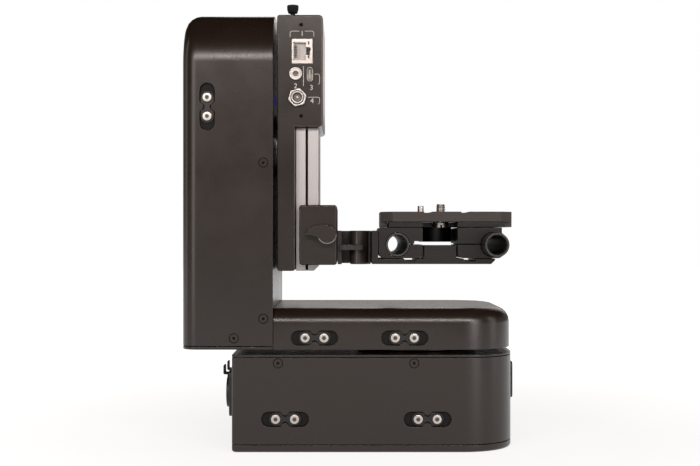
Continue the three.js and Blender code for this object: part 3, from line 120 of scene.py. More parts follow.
# How many points a small tooth and the gap beside it have together.
TOOTH_POINTS = 4

# The numbers of a colour mixing node's inputs, and of its output.
MIX_SHARE, MIX_FROM, MIX_TO = 0, 6, 7
MIX_RESULT = 2
# A noise pattern lies mostly between these values, which are stretched over its full range.
NOISE_MIDDLE = {"From Min": 0.3, "From Max": 0.7}

Flat = tuple[float, float]
Loop = list[Flat]
Piece = bpy.types.Object
Material = bpy.types.Material
Tree = bpy.types.NodeTree
Socket = bpy.types.NodeSocket

BODY_OF = {node: item["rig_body"] for node, item in frame["nodes"].items()}

log = logging.getLogger("pan_tilt_head")


class Axis(Enum):
    """The direction that an outline is pushed along or a profile is turned about."""

    X = "x"
    Y = "y"
    Z = "z"

    def place(self, across: float, up: float, along: float) -> Vector:
        """Puts a drawing point into the frame.

        Args:
            across: The drawing's first direction: Y for X, otherwise X.
            up: The drawing's second direction: Y for Z, otherwise Z.
            along: The place on this axis.

        Returns:
            The point, in the frame's order.
        """
        if self is Axis.X:
            return Vector((along, across, up))
        if self is Axis.Y:
            return Vector((across, along, up))
        return Vector((across, up, along))


@dataclass
class Shape:
    """Corners in millimetres and the faces between them."""

    corners: list[Vector] = field(default_factory=list)
    faces: list[tuple[int, ...]] = field(default_factory=list)

    def add(self, *others: "Shape") -> "Shape":
        """Takes in the corners and faces of other shapes.

        Args:
            others: The other shapes.

        Returns:
            This shape.
        """
        for other in others:
            start = len(self.corners)
            self.corners.extend(other.corners)
            self.faces.extend(tuple(start + i for i in face) for face in other.faces)
        return self

    def wall(self, first: int, second: int, count: int) -> None:
        """Joins two rings of corners by a band of faces.

        Args:
            first: The number of the first ring's first corner.
            second: The number of the second ring's first corner.
            count: How many corners each ring has.
        """
        for i in range(count):
            j = (i + 1) % count
            self.faces.append((first + i, first + j, second + j, second + i))

    def fill(self, loops: Sequence[Loop], places: Sequence[int]) -> None:
        """Adds the flat faces between an outline and its holes, given their corners' numbers."""
        flat = [[Vector((x, y, 0)) for x, y in loop] for loop in loops]
        self.faces.extend(tuple(places[i] for i in face) for face in tessellate_polygon(flat))


def arc(x: float, y: float, radius: float, start: float, end: float, steps: int) -> Loop:
    """Points on an arc from one angle in radians to another, both ends included."""
    angles = [start + (end - start) * i / steps for i in range(steps + 1)]
    return [(x + radius * math.cos(a), y + radius * math.sin(a)) for a in angles]


def circle(x: float, y: float, radius: float, flats: int = MEDIUM_FLATS) -> Loop:
    """A closed round outline of so many flats."""
    return arc(x, y, radius, 0, FULL_TURN, flats)[:-1]


def hexagon(x: float, y: float, across_flats: float, turn: float = 0.0) -> Loop:
    """A six sided outline, sized across its flats."""
    return arc(x, y, across_flats / math.sqrt(3), turn, turn + FULL_TURN, 6)[:-1]


def turned_hexagon(x: float, y: float, across_flats: float, radius: float, turn: float) -> Loop:
    """A six sided outline whose corners are turned down to a radius.

    Args:
        x: The centre's first place.
        y: The centre's second place.
        across_flats: The distance between opposite sides.
        radius: The reach of the turned corners.
        turn: The angle of its first corner, in radians.

    Returns:
        The closed outline.
    """
    points = []
    sixth = FULL_TURN / 6
    for i in range(FINE_FLATS):
        angle = FULL_TURN * i / FINE_FLATS
        off = (angle - turn) % sixth - sixth / 2
        reach = min(across_flats / 2 / math.cos(off), radius)
        points.append((x + reach * math.cos(angle), y + reach * math.sin(angle)))
    return points


def rectangle(left: float, low: float, right: float, high: float) -> Loop:
    """A square cornered outline."""
    return [(left, low), (right, low), (right, high), (left, high)]


def rounded(
    left: float, low: float, right: float, high: float, radius: float, steps: int = CORNER_STEPS
) -> Loop:
    """A rectangle with round corners.

    Args:
        left: The lowest first place.
        low: The lowest second place.
        right: The highest first place.
        high: The highest second place.
        radius: The corners' radius.
        steps: How many chords each corner has.

    Returns:
        The closed outline, anticlockwise.
    """
    return (
        arc(left + radius, low + radius, radius, math.pi, 3 * QUARTER_TURN, steps)
        + arc(right - radius, low + radius, radius, 3 * QUARTER_TURN, FULL_TURN, steps)
        + arc(right - radius, high - radius, radius, 0, QUARTER_TURN, steps)
        + arc(left + radius, high - radius, radius, QUARTER_TURN, math.pi, steps)
    )


def signed_area(loop: Loop) -> float:
    """Measures the area inside an outline.

    Args:
        loop: The closed outline.

    Returns:
        The area, negative when the outline runs clockwise.
    """
    total = 0.0
    for (ax, ay), (bx, by) in zip(loop, loop[1:] + loop[:1]):
        total += ax * by - bx * ay
    return total / 2


def drawn_in(loop: Loop, amount: float) -> Loop:
    """Moves each side of an outline to its left by an amount, with mitred corners.

    Args:
        loop: The closed outline. Its left side is the material.
        amount: How far each side moves.

    Returns:
        The moved outline, point for point.
    """
    moved = []
    for before, here, after in zip(loop[-1:] + loop[:-1], loop, loop[1:] + loop[:1]):
        first = Vector((here[0] - before[0], here[1] - before[1])).normalized()
        second = Vector((after[0] - here[0], after[1] - here[1])).normalized()
        sum_x = -first.y - second.y
        sum_y = first.x + second.x
        scale = amount / max(1 + first.dot(second), MITRE_LEAST)
        moved.append((here[0] + sum_x * scale, here[1] + sum_y * scale))
    return moved


def eased_levels(low: float, high: float, ease: float, steps: int, both: bool) -> list[Flat]:
    """Places along an extrusion with how far its outline is drawn in there.

    Args:
        low: Where the extrusion starts.
        high: Where it ends.
        ease: The radius of its edges, or 0.
        steps: How many chords each round edge has.
        both: Whether both ends are eased, or only the low one.

    Returns:
        Pairs of place and inset, from low to high.
    """
    if ease <= 0:
        return [(low, 0.0), (high, 0.0)]
    turns = [QUARTER_TURN * i / steps for i in range(steps + 1)]
    start = [(low + ease * (1 - math.cos(a)), ease * (1 - math.sin(a))) for a in turns]
    if not both:
        return start + [(high, 0.0)]
    return start + [(low + high - place, inset) for place, inset in reversed(start)]


def extrusion(
    axis: Axis,
    outline: Loop,
    low: float,
    high: float,
    holes: Sequence[Loop] = (),
    ease: float = 0.0,
    steps: int = EDGE_STEPS,
    both: bool = True,
) -> Shape:
    """An outline pushed along an axis, with round edges.

    Args:
        axis: The direction of the push.
        outline: The outer outline.
        low: Where it starts.
        high: Where it ends.
        holes: Outlines left open.
        ease: The radius of the edges.
        steps: How many chords each round edge has.
        both: Whether both ends are eased, or only the low one.

    Returns:
        The closed shape.
    """
    loops = [outline if signed_area(outline) > 0 else outline[::-1]]
    loops += [hole if signed_area(hole) < 0 else hole[::-1] for hole in holes]
    levels = eased_levels(low, high, ease, steps, both)
    shape = Shape()
    count = sum(len(loop) for loop in loops)
    caps = []
    for along, inset in levels:
        ring = [drawn_in(loop, inset) if inset else loop for loop in loops]
        shape.corners.extend(axis.place(x, y, along) for loop in ring for x, y in loop)
        caps.append(ring)
    for level in range(len(levels) - 1):
        start = level * count
        for loop in loops:
            shape.wall(start, start + count, len(loop))
            start += len(loop)
    for cap, start in ((caps[0], 0), (caps[-1], count * (len(levels) - 1))):
        shape.fill(cap, range(start, start + count))
    return shape


def turning(axis: Axis, profile: Sequence[Flat], x: float, y: float, flats: int = FLATS) -> Shape:
    """A profile of radius and place along an axis, turned about it.

    Args:
        axis: The axis it is turned about.
        profile: Pairs of radius and place, from one end to the other. It closes on the axis,
            or on itself where its first pair comes again at the end.
        x: The axis's first place in the plane across it.
        y: The axis's second place there.
        flats: How many flats go round.

    Returns:
        The closed shape.
    """
    shape = Shape()
    rings: list[list[int]] = []
    for radius, along in profile:
        points = circle(x, y, radius, flats) if radius > 0 else [(x, y)]
        rings.append(list(range(len(shape.corners), len(shape.corners) + len(points))))
        shape.corners.extend(axis.place(px, py, along) for px, py in points)
    for first, second in zip(rings, rings[1:]):
        if len(first) == 1 and len(second) == 1:
            continue
        for i in range(flats):
            j = (i + 1) % flats
            corners = [first[i % len(first)], first[j % len(first)]]
            corners += [second[j % len(second)], second[i % len(second)]]
            shape.faces.append(tuple(dict.fromkeys(corners)))
    return shape


def eased_profile(points: Sequence[Flat], ease: float, steps: int = EDGE_STEPS) -> list[Flat]:
    """Rounds the corners of a turned profile that stand off the axis.

    Args:
        points: Pairs of radius and place.
        ease: The radius of the corners, cut down on short sides.
        steps: How many chords each corner has.

    Returns:
        The profile with its corners rounded.
    """
    result: list[Flat] = []
    for i, here in enumerate(points):
        if i == 0 or i == len(points) - 1 or here[0] <= 0:
            result.append(here)
            continue
        centre = Vector(here)
        back = Vector(points[i - 1]) - centre
        on = Vector(points[i + 1]) - centre
        reach = min(ease, back.length / SIDE_PER_CORNER, on.length / SIDE_PER_CORNER)
        start, end = centre + back.normalized() * reach, centre + on.normalized() * reach
        for k in range(steps + 1):
            t = k / steps
            spot = start * (1 - t) ** 2 + centre * (2 * t * (1 - t)) + end * t**2
            result.append((spot.x, spot.y))
    return result


def bar_profile(radius: float, low: float, high: float) -> list[Flat]:
    """The profile of a plain round bar, for turning."""
    return [(0, low), (radius, low), (radius, high), (0, high)]


def tube_profile(inner: float, outer: float, low: float, high: float) -> list[Flat]:
    """The profile of a plain round tube, for turning."""
    return rectangle(inner, low, outer, high) + [(inner, low)]


def lofted(axis: Axis, rings: Sequence[tuple[float, Loop]]) -> Shape:
    """Outlines with as many points each, joined from one place along an axis to the next.

    Args:
        axis: The direction that the outlines follow.
        rings: Pairs of place and outline, each outline anticlockwise.

    Returns:
        The closed shape.
    """
    shape = Shape()
    count = len(rings[0][1])
    for along, loop in rings:
        shape.corners.extend(axis.place(x, y, along) for x, y in loop)
    for level in range(len(rings) - 1):
        shape.wall(level * count, (level + 1) * count, count)
    for (_, loop), start in ((rings[0], 0), (rings[-1], count * (len(rings) - 1))):
        shape.fill([loop], range(start, start + count))
    return shape


def recessed(axis: Axis, rings: Sequence[tuple[float, Loop]], hole: Loop, depth: float) -> Shape:
    """A loft with a blind hole in its first end.

    Args:
        axis: The direction that the outlines follow.
        rings: Pairs of place and outline, the open end first.
        hole: The hole's outline, anticlockwise.
        depth: How deep the hole is. It runs the way that the loft does.

    Returns:
        The closed shape.
    """
    shape = lofted(axis, rings)
    (start, mouth), (end, _) = rings[0], rings[-1]
    shape.faces = [face for face in shape.faces if max(face) >= len(mouth)]
    floor = start + math.copysign(depth, end - start)
    first = len(shape.corners)
    for along in (start, floor):
        shape.corners.extend(axis.place(x, y, along) for x, y in hole)
    count = len(hole)
    base = first + count
    shape.wall(base, first, count)
    shape.fill([mouth, hole[::-1]], [*range(len(mouth)), *reversed(range(first, base))])
    shape.fill([hole], range(base, base + count))
    return shape


def screw_head(
    axis: Axis, x: float, y: float, face: float, radius: float, height: float, drive: float
) -> Shape:
    """A round screw head with eased edge and a hexagon socket in its low end.

    Args:
        axis: The screw's axis.
        x: The axis's first place.
        y: The axis's second place.
        face: Where the head starts. It goes on in the axis's own direction, or back where
            the height is negative.
        radius: The head's radius.
        height: The head's height.
        drive: The socket's size across its flats.

    Returns:
        The closed shape.
    """
    way = math.copysign(1, height)
    ease = radius * HEAD_EASE_SHARE
    bend = ease * BEND_SHARE
    sides = [(0.0, ease), (bend, bend), (ease, 0.0), (abs(height), 0.0)]
    rings = [(face + way * along, circle(x, y, radius - inset)) for along, inset in sides]
    return recessed(axis, rings, hexagon(x, y, drive), DRIVE_DEPTH_SHARE * abs(height))


def toothed(x: float, y: float, radius: float, teeth: int, depth: float) -> Loop:
    """A round outline with small teeth.

    Args:
        x: The centre's first place.
        y: The centre's second place.
        radius: The reach of the teeth.
        teeth: How many there are.
        depth: How deep the gaps between them are.

    Returns:
        The closed outline, two points to a tooth and two to a gap.
    """
    count = teeth * TOOTH_POINTS
    radii = [radius - depth * (i % TOOTH_POINTS >= TOOTH_POINTS / 2) for i in range(count)]
    angles = [FULL_TURN * i / count for i in range(count)]
    return [(x + r * math.cos(a), y + r * math.sin(a)) for r, a in zip(radii, angles)]


def threaded(
    axis: Axis, x: float, y: float, low: float, high: float, radius: float, pitch: float
) -> Shape:
    """A stud with a helical thread that fades out at its tip.

    Args:
        axis: The stud's axis.
        x: The axis's first place.
        y: The axis's second place.
        low: Where the thread starts.
        high: The tip.
        radius: The thread's outer radius.
        pitch: The distance from one turn to the next.

    Returns:
        The closed shape.
    """
    flats, steps = MEDIUM_FLATS, round((high - low) / pitch * THREAD_STEPS)
    depth = pitch * THREAD_DEPTH_SHARE
    rings = []
    for step in range(steps + 1):
        along = low + (high - low) * step / steps
        tip = min(1.0, (high - along) / pitch)
        loop = []
        for i in range(flats):
            phase = (along / pitch + i / flats) % 1
            flank = min(1.0, max(0.0, abs(2 * phase - 1) * FLANK_SLOPE - FLANK_START))
            reach = radius - depth * flank - (1 - tip) * depth * (1 - flank)
            angle = FULL_TURN * i / flats
            loop.append((x + reach * math.cos(angle), y + reach * math.sin(angle)))
        rings.append((along, loop))
    return lofted(axis, rings)


def curve(start: Flat, pull: Flat, lead: Flat, end: Flat, steps: int) -> Loop:
    """Points on a curve that leaves towards one point and arrives from another.

    Args:
        start: Where it starts.
        pull: The point that it leaves towards.
        lead: The point that it arrives from.
        end: Where it ends.
        steps: How many chords it has.

    Returns:
        The points, both ends included.
    """
    points = []
    for i in range(steps + 1):
        t = i / steps
        shares = ((1 - t) ** 3, 3 * t * (1 - t) ** 2, 3 * t**2 * (1 - t), t**3)
        corners = (start, pull, lead, end)
        points.append(tuple(sum(w * c[k] for w, c in zip(shares, corners)) for k in (0, 1)))
    return points


def ribbon(points: Sequence[Flat], width: float) -> Loop:
    """A thin band along an open line.

    Args:
        points: The line's points.
        width: The band's width.

    Returns:
        The band's closed outline.
    """
    half = width / 2
    left, right = [], []
    for i, (x, y) in enumerate(points):
        before = points[max(i - 1, 0)]
        after = points[min(i + 1, len(points) - 1)]
        way = Vector((after[0] - before[0], after[1] - before[1])).normalized()
        left.append((x - way.y * half, y + way.x * half))
        right.append((x + way.y * half, y - way.x * half))
    return left + right[::-1]


def mesh_object(name: str, shape: Shape, material: Material) -> Piece:
    """Makes a smooth object with hard edges kept, from a shape in millimetres."""
    return finished_object(name, working_mesh(shape), material)


def working_mesh(shape: Shape) -> bmesh.types.BMesh:
    """Turns a shape into a working mesh.

    Args:
        shape: Its corners and faces, in millimetres.

    Returns:
        The mesh in metres, with its corners joined and its faces turned outwards.
    """
    work = bmesh.new()
    corners = [work.verts.new(corner * MM) for corner in shape.corners]
    for face in shape.faces:
        work.faces.new([corners[i] for i in face])
    bmesh.ops.remove_doubles(work, verts=work.verts, dist=JOIN)
    bmesh.ops.recalc_face_normals(work, faces=work.faces)
    return work


def cut_away(piece: Piece, tools: Sequence[Shape]) -> None:
    """Cuts shapes out of a piece, one after the other.

    Args:
        piece: The piece.
        tools: The shapes, in millimetres.
    """
    for shape in tools:
        mesh = bpy.data.meshes.new("cutter")
        work = working_mesh(shape)
        work.to_mesh(mesh)
        work.free()
        tool = bpy.data.objects.new("cutter", mesh)
        bpy.context.scene.collection.objects.link(tool)
        cutting = piece.modifiers.new("cut", "BOOLEAN")
        cutting.operation = "DIFFERENCE"
        cutting.solver = "EXACT"
        cutting.object = tool
        settle(piece)
        bpy.data.objects.remove(tool)
        bpy.data.meshes.remove(mesh)


def finished_object(
    name: str,
    work: bmesh.types.BMesh,
    material: Material,
    bevel: float = 0.0,
    cuts: Sequence[Shape] = (),
    weighed: bool = False,
) -> Piece:
    """Turns a working mesh into an object with eased edges and even shading.

    Args:
        name: The object's name.
        work: The working mesh, freed here.
        material: Its finish.
        bevel: The radius for its hard edges, in millimetres, or 0 where they are eased already.
        cuts: Shapes cut out of it once its edges are eased.
        weighed: Whether its edges carry shares of the radius.

    Returns:
        The object, linked into the scene, with nothing left to apply.
    """
    mesh = bpy.data.meshes.new(name)
    work.to_mesh(mesh)
    work.free()
    piece = bpy.data.objects.new(name, mesh)
    bpy.context.scene.collection.objects.link(piece)
    if bevel > 0:
        rounding = piece.modifiers.new("ease", "BEVEL")
        rounding.width = bevel * MM
        rounding.segments = EDGE_STEPS
        rounding.limit_method = "WEIGHT" if weighed else "ANGLE"
        rounding.angle_limit = SHARP_ANGLE
        rounding.miter_outer = "MITER_ARC"
        settle(piece)
    cut_away(piece, cuts)
    piece.data.shade_smooth()
    piece.data.set_sharp_from_angle(angle=SHARP_ANGLE)
    shading = piece.modifiers.new("even", "WEIGHTED_NORMAL")
    shading.keep_sharp = True
    settle(piece)
    piece.data.materials.clear()
    piece.data.materials.append(material)
    return piece


def weigh_edges(work: bmesh.types.BMesh, reach: float, share: float) -> None:
    """Gives the edges round the outside of the front view the whole radius, and others a share.

    Args:
        work: The working mesh, in metres.
        reach: How near an edge lies to the side or top of the mesh to count as outside.
        share: The share of the radius that the other hard edges take.
    """
    spots = [corner.co for corner in work.verts]
    low = [min(spot[k] for spot in spots) + reach for k in range(3)]
    high = [max(spot[k] for spot in spots) - reach for k in range(3)]
    weights = work.edges.layers.float.new("bevel_weight_edge")
    for edge in work.edges:
        if len(edge.link_faces) != 2 or edge.calc_face_angle(0.0) < SHARP_ANGLE:
            continue
        ends = [corner.co for corner in edge.verts]
        edge[weights] = share
        for k in (0, 2):
            if all(end[k] < low[k] for end in ends) or all(end[k] > high[k] for end in ends):
                edge[weights] = 1.0


def settle(piece: Piece) -> None:
    """Keeps the result of a piece's modifiers as its own mesh.

    Args:
        piece: The piece.
    """
    graph = bpy.context.evaluated_depsgraph_get()
    result = bpy.data.meshes.new_from_object(piece.evaluated_get(graph))
    spent = piece.data
    piece.modifiers.clear()
    piece.data = result
    result.name = spent.name
    bpy.data.meshes.remove(spent)


def linear(colour: str) -> tuple[float, float, float, float]:
    """Turns a colour to linear light.

    Args:
        colour: Six digits of sRGB hex.

    Returns:
        Linear red, green and blue, and full alpha.
    """
    parts = [int(colour[i : i + 2], 16) / 255 for i in (0, 2, 4)]
    values = [p / 12.92 if p <= 0.04045 else ((p + 0.055) / 1.055) ** 2.4 for p in parts]
    return (values[0], values[1], values[2], 1.0)


def add_node(
    tree: Tree,
    kind: str,
    settings: dict[str | int, object] | None = None,
    links: dict[str | int, Socket] | None = None,
) -> bpy.types.Node:
    """Adds a node with its settings and links.

    Args:
        tree: The material's nodes.
        kind: The node's type.
        settings: Values by input name or number, or by the node's own attribute.
        links: Sockets to join, by input name or number.

    Returns:
        The node.
    """
    node = tree.nodes.new(kind)
    for key, value in (settings or {}).items():
        if isinstance(key, str) and hasattr(node, key):
            setattr(node, key, value)
        else:
            node.inputs[key].default_value = value
    for key, source in (links or {}).items():
        tree.links.new(source, node.inputs[key])
    return node


def per_metre(size: float) -> float:
    """The scale of a texture whose features measure so many millimetres."""
    return 1 / (size * MM)


@dataclass(frozen=True)
class Finish:
    """What every finish has: a name, its shader's values and the patterns that vary them.

    The drift is a pattern that moves the tone and the gloss, and the relief one that stands out
    from the surface. Their sizes and depths are millimetres.
    """

    name: str
    colour: str
    roughness: float
    metallic: float = 0.0
    specular: float = 0.5
    other_colour: str = ""
    roughness_swing: float = 0.0
    relief_depth: float = 0.0

    def patterns(self, tree: Tree, place: Socket) -> tuple[Socket, Socket]:
        """Gives the drift and the relief: the place itself, for a finish that is even."""
        return place, place

    def uniform(self) -> dict[str, object]:
        """Gives the shader's values that are the same all over.

        Returns:
            Values by the names of the shader's inputs.
        """
        return {
            "Base Color": linear(self.colour),
            "Roughness": self.roughness,
            "Metallic": self.metallic,
            "Specular IOR Level": self.specular,
        }

    def varied(self, tree: Tree, place: Socket) -> dict[str, Socket]:
        """Joins the patterns to the shader's values that they vary.

        Args:
            tree: The material's nodes.
            place: The place on the piece.

        Returns:
            Sockets for the shader, by the names of its inputs.
        """
        drift, relief = self.patterns(tree, place)
        links = {}
        if self.other_colour:
            share = add_node(tree, "ShaderNodeMapRange", NOISE_MIDDLE, {"Value": drift})
            settings = {"data_type": "RGBA", MIX_FROM: linear(self.colour), MIX_TO: linear(self.other_colour)}
            mixed = add_node(tree, "ShaderNodeMix", settings, {MIX_SHARE: share.outputs["Result"]})
            links["Base Color"] = mixed.outputs[MIX_RESULT]
        if self.roughness_swing:
            low, high = self.roughness - self.roughness_swing, self.roughness + self.roughness_swing
            settings = {**NOISE_MIDDLE, "To Min": low, "To Max": high}
            gloss = add_node(tree, "ShaderNodeMapRange", settings, {"Value": drift})
            links["Roughness"] = gloss.outputs["Result"]
        if self.relief_depth:
            settings = {"Distance": self.relief_depth * MM, "Strength": 1.0}
            links["Normal"] = add_node(tree, "ShaderNodeBump", settings, {"Height": relief}).outputs["Normal"]
        return links

    def make(self) -> Material:
        """Makes the material, with its patterns fixed to the piece that wears it.

        Returns:
            The material.
        """
        material = bpy.data.materials.new(self.name)
        material.use_nodes = True
        tree = material.node_tree
        tree.nodes.clear()
        place = add_node(tree, "ShaderNodeTexCoord").outputs["Object"]
        shader = add_node(tree, "ShaderNodeBsdfPrincipled", self.uniform(), self.varied(tree, place))
        add_node(tree, "ShaderNodeOutputMaterial", None, {"Surface": shader.outputs["BSDF"]})
        return material


@dataclass(frozen=True)
class Clouded(Finish):
    """A finish with cloudy patches over a fine grain."""

    patch: float = 38.0
    patch_detail: float = 3.0
    grain: float = 0.45
    grain_detail: float = 2.0
    cloud_roughness: float = 0.6

    def patterns(self, tree: Tree, place: Socket) -> tuple[Socket, Socket]:
        """Makes the patches and the grain.

        Args:
            tree: The material's nodes.
            place: The place on the piece.

        Returns:
            The patches, then the grain.
        """
        made = []
        for size, detail in ((self.patch, self.patch_detail), (self.grain, self.grain_detail)):
            settings = {"Scale": per_metre(size), "Detail": detail, "Roughness": self.cloud_roughness}
            made.append(add_node(tree, "ShaderNodeTexNoise", settings, {"Vector": place}).outputs["Fac"])
        return made[0], made[1]


@dataclass(frozen=True)
class BakedCoat(Clouded):
    """Satin paint baked on blasted aluminium.

    The blasted grain is really about 0.1 mm. It is drawn as 0.45 mm so that it shows.
    """

    other_colour: str = "221812"
    roughness_swing: float = 0.03
    relief_depth: float = 0.005


@dataclass(frozen=True)
class Moulded(Clouded):
    """Moulded plastic or rubber.

    The grain of a spark eroded mould is really about 0.05 mm. It is drawn as 0.3 mm.
    """

    roughness_swing: float = 0.07
    relief_depth: float = 0.004
    patch: float = 9.0
    patch_detail: float = 2.0
    grain: float = 0.3
    grain_detail: float = 3.0


@dataclass(frozen=True)
class Ink(Clouded):
    """Screen printed ink, uneven over the mesh of its screen, drawn as 0.5 mm for 0.1 mm."""

    other_colour: str = "b8b4b0"
    patch: float = 0.5
    patch_detail: float = 2.0


@dataclass(frozen=True)
class CutMetal(Finish):
    """Cut or drawn metal, plain, plated or dyed: lines along the way that the tool went.

    Tool lines are really 0.05 to 0.2 mm apart. They are drawn as 0.25 to 0.8 mm.
    """

    other_colour: str = "1a1716"
    roughness_swing: float = 0.05
    relief_depth: float = 0.0012
    line: float = 0.6
    line_length: float = 40.0
    line_detail: float = 3.0
    line_roughness: float = 0.7
    along: Axis = Axis.X

    def patterns(self, tree: Tree, place: Socket) -> tuple[Socket, Socket]:
        """Draws streaks out along the tool's way.

        Args:
            tree: The material's nodes.
            place: The place on the piece.

        Returns:
            The streaks, for the drift and for the relief.
        """
        across, long = per_metre(self.line), per_metre(self.line_length)
        scale = [long if axis is self.along else across for axis in Axis]
        mapped = add_node(tree, "ShaderNodeMapping", {"Scale": scale}, {"Vector": place})
        settings = {"Scale": 1.0, "Detail": self.line_detail, "Roughness": self.line_roughness}
        links = {"Vector": mapped.outputs["Vector"]}
        streaks = add_node(tree, "ShaderNodeTexNoise", settings, links).outputs["Fac"]
        return streaks, streaks


@dataclass(frozen=True)
class LitWindow(Finish):
    """A clear window with a small lamp behind it, in an even glow."""

    glow: float = 0.9

    def uniform(self) -> dict[str, object]:
        """Gives the shader's values, with the lamp's own light."""
        return {**super().uniform(), "Emission Color": linear(self.colour), "Emission Strength": self.glow}


@dataclass(frozen=True)
class SolderMask(Finish):
    """Solder mask on a circuit board, with tracks that show under it."""

    other_colour: str = "2f7d55"
    track: float = 2.2

    def patterns(self, tree: Tree, place: Socket) -> tuple[Socket, Socket]:
        """Lays straight tracks in cells.

        Args:
            tree: The material's nodes.
            place: The place on the piece.

        Returns:
            The tracks, for the drift and for the relief.
        """
        settings = {"Scale": per_metre(self.track), "distance": "MANHATTAN"}
        cells = add_node(tree, "ShaderNodeTexVoronoi", settings, {"Vector": place}).outputs["Distance"]
        return cells, cells


class Finishes:
    """Every finish of the head, made once, with what each gives the eye."""

    def __init__(self) -> None:
        """Makes the materials."""
        # Cast housings under baked satin paint: near black, with soft bands of light on round edges.
        self.coat = BakedCoat("satin_coat_on_cast_aluminium", "1f1611", 0.28).make()
        # Milled plates under black dye: a touch greyer than the paint, with faint lines across.
        self.milled = CutMetal("black_anodised_milled_aluminium", "1e1a19", 0.32, 0.3).make()
        # The upright bracket, milled along its height: dark grey, with lines that run up it.
        self.upright = CutMetal(
            "black_anodised_upright_milling", "48423f", 0.32, 0.4, along=Axis.Z
        ).make()
        # The extruded rail under clear oxide: pale warm grey, streaked along its length.
        self.clear = CutMetal(
            "clear_anodised_extruded_aluminium", "b2aeae", 0.4, 0.6, other_colour="a7a3a3", along=Axis.Z
        ).make()
        # Drawn tubes under black dye: a sharp dark sheen that runs along them.
        self.tube = CutMetal("black_anodised_drawn_tube", "1e1b1a", 0.26, 0.3, along=Axis.Y).make()
        # Turned stainless steel: the brightest spots, with fine short tool lines.
        self.steel = CutMetal(
            "turned_stainless_steel", "c6c1bc", 0.38, 1.0, other_colour="b1aca8", line=0.25, line_length=3.0
        ).make()
        # Screws blackened in oxide: dark metal that still glints.
        self.black_screw = CutMetal(
            "black_oxide_screw_steel", "191817", 0.34, 0.7, other_colour="121111", line=0.25, line_length=3.0
        ).make()
        # Nickel plate on the sockets: soft warm silver.
        self.nickel = CutMetal(
            "nickel_plated_shell", "b8b2ae", 0.34, 1.0, other_colour="ada7a3", line=0.8
        ).make()
        # Tinned springs inside the network socket, darkened as painted shade: dull dark stripes on the grey
        # insert.
        self.contact = CutMetal(
            "tinned_spring_contact_painted_shade", "55504d", 0.45, 0.4, other_colour="4b4643", line=0.5
        ).make()
        # Gold plate on the round connectors' pins: small yellow glints.
        self.gold = CutMetal(
            "gold_plated_contact", "d9a441", 0.25, 1.0, other_colour="c9923a", line=0.5
        ).make()
        # Moulded nylon: soft black, a little duller than the paint.
        self.plastic = Moulded("moulded_black_nylon", "131314", 0.45).make()
        # The camera plate's milled faces: black anodising painted lighter than the clamps under it, as a
        # painted reflection of light from the front.
        self.plate = CutMetal(
            "black_anodised_camera_plate_painted_reflection", "443e3c", 0.34, 0.4, other_colour="35302e"
        ).make()
        # The waisted clamp bars: darker and duller than the housings that they sit in.
        self.bar = CutMetal("black_anodised_clamp_bar", "12100f", 0.42, 0.2).make()
        # Plain black: painted shade in the sockets of sunk screws and on the floor of the rail's groove, and
        # the panel's small black screws.
        self.black_screws_and_shade = CutMetal(
            "black_screw_and_painted_shade", "070707", 0.7, 0.0, specular=0.1, other_colour="0a0909", line=0.3
        ).make()
        # The floor of a bright screw's socket, in its own shade: mid grey.
        self.socket = CutMetal(
            "steel_socket_in_shade", "4e4a48", 0.6, 0.4, other_colour="454140", line=0.3
        ).make()
        # Painted shade: a black sheet on the floor of the pocket round a clamp bar, standing for the pocket's
        # shadow, which sets the bar off.
        self.pocket = CutMetal("painted_shade_pocket_floor", "0b0a0a", 0.6, 0.0, specular=0.15).make()
        # The pull knob: matt black, with its knurl as the only texture.
        self.knob = Moulded("moulded_black_knob", "050505", 0.55, specular=0.2).make()
        # The inside of a tube: dark, with a weak sheen towards its mouth.
        self.lining = CutMetal("black_anodised_bore", "1a1817", 0.5, 0.0, along=Axis.Y).make()
        # Pale grey plastic in the sockets: the light ground behind the contacts.
        self.grey_plastic = Moulded("moulded_grey_insert", "b3aeaa", 0.5).make()
        # Painted shade: the same pale grey plastic, darkened for deeper places where less light comes.
        self.dim_plastic = Moulded("moulded_grey_insert_painted_shade", "6a6663", 0.5).make()
        # Black plastic: the power socket's sleeve, and painted shade in the network shell's slots and the
        # clamps' slits.
        self.black_plastic_and_shade = Moulded("moulded_black_insert_and_painted_shade", "0a0a0b", 0.55).make()
        # Belt rubber: black and quite matt.
        self.rubber = Moulded("moulded_belt_rubber", "111112", 0.75).make()
        # White screen print: warm white lines and numbers.
        self.ink = Ink("screen_printed_white_ink", "dedbd7", 0.6).make()
        # Painted highlight: a grey metal ring under the lever, lighter than its black hub, as the thin bright
        # arc that light makes on a turned edge.
        self.rim = CutMetal("turned_rim_painted_highlight", "8b8683", 0.22, 0.9, other_colour="7d7875").make()
        # The faced ends of the tubes: grey rings round dark bores.
        self.tube_end = CutMetal("machined_tube_end", "4c4845", 0.3, 0.6, other_colour="54504d").make()
        # The status lamp's window: deep blue that glows in the gap.
        self.lamp = LitWindow("blue_lamp_window", "1c0e78", 0.4, specular=0.1).make()
        # Circuit boards: glossy green.
        self.board = SolderMask("solder_masked_circuit_board", "1c5238", 0.3).make()


